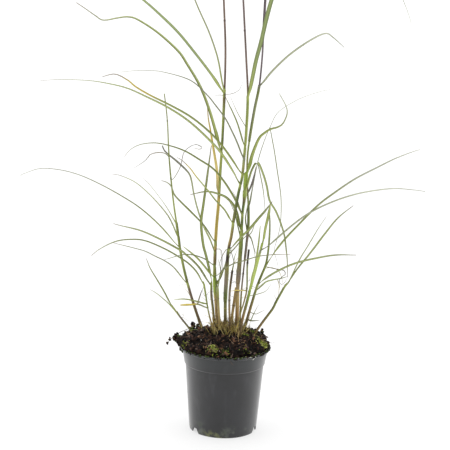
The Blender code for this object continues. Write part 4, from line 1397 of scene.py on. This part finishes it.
def crumb_heap(count, chance):
    """Rounded crumbs of peat."""
    shape = plant_bmesh()
    for _ in range(count):
        place, turn = scatter(chance, RIM_RADIUS + 7 * MM)
        crumb(shape, chance, Matrix.Translation(place) @ turn, chance.uniform(0.6, 1.9) * MM, 0.3,
              "peat", "peat", "peat", "bark")
    return shape


def rim_crumbs(shape, count, chance):
    """Crumbs that lie on the lip at the front and the sides, and hang a little over its edge."""
    for _ in range(count):
        angle = math.radians(chance.uniform(-195, 15))
        radius = chance.uniform(0.5, 1.2) * MM
        out = RIM_RADIUS - chance.uniform(-0.5, 3.5) * MM
        rise = chance.uniform(0.0, 1.2) * MM - max(0.0, out - RIM_RADIUS + 0.4 * MM) * 2.2
        place = Vector((out * math.cos(angle), out * math.sin(angle), POT_HEIGHT + rise))
        crumb(shape, chance, place, radius, 0.35, "peat", "peat", "bark", "moss_dark")
    return shape


def bark_finish():
    finish = Finish("bark", Specular_IOR_Level=0.12)
    tint = finish.node("ShaderNodeAttribute", {"attribute_name": "tint"})
    where = finish.node("ShaderNodeTexCoord", output=3)
    grain = finish.noise(where, 900.0, 3.0)
    patch = finish.noise(where, 220.0, 2.0)
    finish.feed("Base Color", finish.shade(tint, 0.35 + grain * 0.6 + patch * 0.6))
    finish.feed("Roughness", 0.6 + grain * 0.3)
    finish.bumps(grain + patch, 0.4 * MM, 0.7)
    return finish


bark_paint = bark_finish()
chips = settle("bark_chips", bark_chips(CHIP_COUNT, random.Random(11)), bark_paint, "potting_soil",
               smooth=False)
crumb_shape = rim_crumbs(crumb_heap(CRUMB_COUNT, random.Random(12)), RIM_CRUMB_COUNT, random.Random(20))
crumbs = settle("peat_crumbs", crumb_shape, bark_paint, "potting_soil")
print("chips and crumbs:", len(chips.data.polygons) + len(crumbs.data.polygons), "faces")

# %% Dead roots and fibres
def fibres(count, chance):
    """Thin curved roots that lie on the heap or stick out of it."""
    shape = plant_bmesh()
    for _ in range(count):
        place, turn = scatter(chance, RIM_RADIUS + 6 * MM)
        heading = chance.uniform(0, math.tau)
        line = [place - UP * MM]
        direction = turn.to_3x3() @ Vector((math.cos(heading), math.sin(heading),
                                            chance.uniform(0.0, 0.7)))
        for _ in range(7):
            line.append(line[-1] + direction * chance.uniform(1.0, 2.6) * MM)
            direction = (direction + shaken(chance, 0.35) - UP * 0.12).normalized()
        radius = chance.uniform(0.12, 0.32) * MM
        colour = brown(chance, "root", "bark", "warm_bark", "grey_bark")
        tube(shape, line, [radius * (1 - 0.08 * i) for i in range(8)], [colour] * 8, 4)
    close_ends(shape)
    return shape


settle("dead_roots", fibres(260, random.Random(13)), bark_paint, "potting_soil")

# %% Moss
# (place seen, spread in mm, leaves, tones)
LIVE = ("moss", "moss", "moss_pale", "moss_dark")
SHADED = ("moss_dark", "moss_dark", "moss")
MOSS = [((263, 345), 7.0, 260, LIVE), ((259, 339), 6.0, 90, LIVE), ((211, 347), 6.5, 190, LIVE),
        ((215, 351), 4.0, 60, LIVE), ((251, 331), 9.0, 260, SHADED), ((245, 334), 6.0, 110, SHADED),
        ((183, 346), 7.0, 120, SHADED), ((226, 355), 8.0, 110, SHADED), ((246, 352), 7.0, 70, SHADED)]


def moss_tufts(chance):
    """Tufts of short pointed leaves."""
    shape = plant_bmesh()
    for seen, spread, count, tones in MOSS:
        middle = ground.ray_cast(EYE, sight(*seen).normalized())[0]
        if middle is None:
            continue
        for _ in range(count):
            place, slope = drop(middle.x + chance.gauss(0, spread * MM / 2),
                                middle.y + chance.gauss(0, spread * MM / 2))
            if place is None:
                continue
            height = chance.uniform(1.2, 3.2) * MM
            lean = (slope + shaken(chance, 0.5)).normalized()
            made = bmesh.ops.create_cone(shape, cap_ends=True, segments=4, radius1=height * 0.28,
                                         radius2=height * 0.03, depth=height,
                                         matrix=Matrix.Translation(place + lean * height * 0.4)
                                         @ lean.to_track_quat("Z", "Y").to_matrix().to_4x4())
            tinted(shape, made["verts"], brown(chance, *tones))
    return shape


settle("moss_tufts", moss_tufts(random.Random(14)), bark_paint, "potting_soil")

# %% White grains on the rim
RIM_GRAINS, HEAP_GRAINS = 16, 26
RIM_GRAIN_SIZE = 0.7


def grains(chance):
    """Grains of perlite, mostly at the front of the rim."""
    shape = plant_bmesh()
    on_rim = Vector((0.0, 0.0, POT_HEIGHT + 0.3 * MM))
    places = [(chance.uniform(233, 256), chance.uniform(356.5, 359.5)) for _ in range(RIM_GRAINS)]
    for seen in places:
        made = ball(shape, meet(seen, on_rim, UP), chance.uniform(0.3, 0.8) * RIM_GRAIN_SIZE * MM)
        tinted(shape, made, SOIL_TONES["perlite"])
    for _ in range(HEAP_GRAINS):
        place, _ = scatter(chance, RIM_RADIUS)
        made = ball(shape, place, chance.uniform(0.3, 0.7) * MM)
        tinted(shape, made, SOIL_TONES["perlite"])
    return shape


settle("perlite_grains", grains(random.Random(15)), bark_paint, "potting_soil")

# %% [markdown]
# ## The pieces that hang over the rim
# On the left a root carries crumbs of bark beyond the rim.

# %% Hang bark on a root
# Clods: (place seen, depth behind the pot's axis in mm, spread in mm, clods, largest radius in mm).
CLODS = [((175.5, 337.5), 8, 4.4, 40, 2.4), ((181.5, 338.0), 8, 4.0, 32, 2.4),
         ((189.5, 337.2), 12, 3.0, 16, 2.2), ((180.8, 348.5), -4, 2.6, 20, 2.0),
         ((192.8, 323.8), 22, 2.6, 28, 2.1), ((197.0, 325.4), 24, 2.0, 14, 1.8),
         ((191.0, 328.0), 18, 2.8, 24, 2.1), ((169.3, 338.6), 12, 1.6, 12, 1.6),
         ((167.2, 342.3), 12, 1.4, 12, 1.6), ((174.8, 333.8), 10, 1.8, 12, 1.6),
         ((261.6, 331.2), 20, 2.3, 18, 2.0), ((266.0, 351.0), -2, 2.0, 10, 1.6)]
ROOT_SEEN = [(191, 327), (186, 329), (180, 331.5), (176, 334), (172, 337), (167, 342)]
ROOT_DEPTH, ROOT_RADIUS, ROOT_POINTS = 14 * MM, 0.4 * MM, 16


def overhang(chance):
    """A root that leaves the heap on the left, and clods round it."""
    shape = plant_bmesh()
    across = Vector((0.0, 1.0, 0.0))
    places = [meet(seen, across * ROOT_DEPTH, across) for seen in ROOT_SEEN]
    tube(shape, curve_through(places, ROOT_POINTS), [ROOT_RADIUS] * ROOT_POINTS,
         [SOIL_TONES["warm_bark"]] * ROOT_POINTS, 5)
    close_ends(shape)
    for seen, depth, spread, count, largest in CLODS:
        middle = meet(seen, across * depth * MM, across)
        for _ in range(count):
            offset = Vector([chance.gauss(0, spread * 0.5) * MM for _ in range(3)])
            crumb(shape, chance, middle + offset, chance.uniform(0.45, 1.0) * largest * MM, 0.4,
                  "peat", "peat", "bark", "bark", "warm_bark", "moss_dark")
    return shape


settle("overhanging_bark", overhang(random.Random(16)), bark_paint, "potting_soil")

# %% [markdown]
# ## The crown
# Round the feet of the canes stands a crown of old, torn sheaths: short straw and brown strips
# that hug the canes and fray at their tips.

# %% Stand old sheaths round the canes' feet
SHEATH_COUNT, TORN_COUNT = 150, 480
OLD_THICKNESS = 0.2 * MM
# Canes with more old sheaths than the others, and the middle of the clump.
SHAGGY = ["cane_green", "stalk_back", "cane_main", "cane_centre", "stub_dead"]
CLUMP_MIDDLE = Vector((4.0, 3.0, 0.0)) * MM


def level(angle):
    """The level direction at an angle round the pot."""
    return Vector((math.cos(angle), math.sin(angle), 0.0))


def crown(count, chance):
    """Dead strips round the feet of the canes, some tight and some flaring out."""
    shape = plant_bmesh()
    names = [name for name in CANES if not name.startswith("shoot_far")]
    for _ in range(count):
        name = chance.choice(names + SHAGGY)
        line = LINES[name]
        out = level(chance.uniform(0, math.tau))
        across = UP.cross(out)
        skin = thickness_at(name, 0.0) + chance.uniform(0.3, 1.0) * MM
        height = int(chance.uniform(6, 20))
        first = int(chance.uniform(1, 12))
        flare = chance.uniform(0.0, 3.0) * MM
        wide = chance.uniform(1.4, 3.4) * MM
        colour = brown_plant(chance)
        rows = []
        for step in range(height):
            share = step / (height - 1)
            middle = line[min(first + step, len(line) - 1)] + out * (skin + flare * share ** 3)
            rows.append((middle, across, wide * (1 - 0.85 * share ** 2), 1 / skin, colour))
        strip(shape, rows, 2)
    return shape


def brown_plant(chance):
    """A tone of dead sheath."""
    light = chance.uniform(0.7, 1.15)
    name = chance.choice(["tan", "umber", "straw", "straw", "olive", "brown", "gold_olive", "tan"])
    return tuple(c * light for c in TONES[name][:3]) + (1.0,)


def thatch(shape, count, chance):
    """Short torn strips that lean outwards round the middle of the clump, down to the soil."""
    for _ in range(count):
        out, reach = level(chance.uniform(0, math.tau)), chance.gauss(13, 6) * MM
        place, _ = drop(CLUMP_MIDDLE.x + out.x * reach * 1.25, CLUMP_MIDDLE.y + out.y * reach)
        lean = Vector((chance.gauss(0, 0.3), chance.gauss(0, 0.3), 1.0))
        lean += out * chance.uniform(-0.1, 0.7)
        length = chance.uniform(5, 15) * MM
        line = [place - UP * MM + lean.normalized() * length * step / 5 for step in range(6)]
        across = lean.cross(out).normalized()
        wide = chance.uniform(0.7, 2.2) * MM
        colour = brown_plant(chance)
        strip(shape, [(point, across, wide * (1 - 0.15 * step), 0.8 / wide, colour)
                      for step, point in enumerate(line)], 2)
    return shape


sheath_shape = thatch(crown(SHEATH_COUNT, random.Random(17)), TORN_COUNT, random.Random(18))
thicken(settle("old_sheaths", sheath_shape, straw_paint, "dead_straw"), OLD_THICKNESS)

# %% [markdown]
# ## The studio
# A pale floor that runs out of the picture, an even white room for the soft light, and two large
# soft lights at the sides and one above. The white room is what the sides of the pot mirror. It is
# dimmer towards the front than towards the back.

# %% Light the studio
ROOM_DIM, ROOM_GAIN = 0.75, 1.5
FLOOR_HALF_SIDE = 400.0
FLOOR_GREY, FLOOR_GLOW = 0.22, 0.61
LOOKED_AT = Vector((0.0, 0.0, 0.3))


def area_light(name, place, size, power):
    """A square soft light that looks at the plant."""
    light = bpy.data.lights.new(name, "AREA")
    light.size = size
    light.energy = power
    lamp = bpy.data.objects.new(name, light)
    aim = (LOOKED_AT - Vector(place)).to_track_quat("-Z", "Y").to_matrix().to_4x4()
    lamp.matrix_world = Matrix.Translation(place) @ aim
    bpy.context.scene.collection.objects.link(lamp)


world = bpy.data.worlds.new("white_room")
world.use_nodes = True
world.node_tree.nodes["Background"].inputs["Color"].default_value = (1.0, 1.0, 1.0, 1.0)
sky = world.node_tree
ahead = Wire(sky, sky.nodes.new("ShaderNodeTexCoord").outputs["Generated"])
split = sky.nodes.new("ShaderNodeSeparateXYZ")
sky.links.new(ahead.socket, split.inputs[0])
strength = Wire(sky, split.outputs[1]).above(-0.88, 0.08) * ROOM_GAIN + ROOM_DIM
sky.links.new(strength.socket, sky.nodes["Background"].inputs["Strength"])
bpy.context.scene.world = world
area_light("left_soft", (-1.8, -0.7, 1.3), 1.6, 7.5)
area_light("right_soft", (1.8, -0.7, 1.3), 1.6, 3.4)
area_light("top_soft", (0.0, -0.2, 2.4), 2.0, 4.0)

floor_shape = bmesh.new()
bmesh.ops.create_grid(floor_shape, x_segments=1, y_segments=1, size=FLOOR_HALF_SIDE)
floor_mesh = bpy.data.meshes.new("floor")
floor_shape.to_mesh(floor_mesh)
floor_shape.free()
floor_paint = Finish("floor_paint", Base_Color=(FLOOR_GREY, FLOOR_GREY, FLOOR_GREY, 1.0), Roughness=0.9,
                     Emission_Color=(1.0, 1.0, 1.0, 1.0), Emission_Strength=FLOOR_GLOW)
floor_mesh.materials.append(floor_paint.material)
floor = bpy.data.objects.new("floor", floor_mesh)
bpy.context.scene.collection.objects.link(floor)
bpy.context.scene.view_settings.view_transform = "Standard"
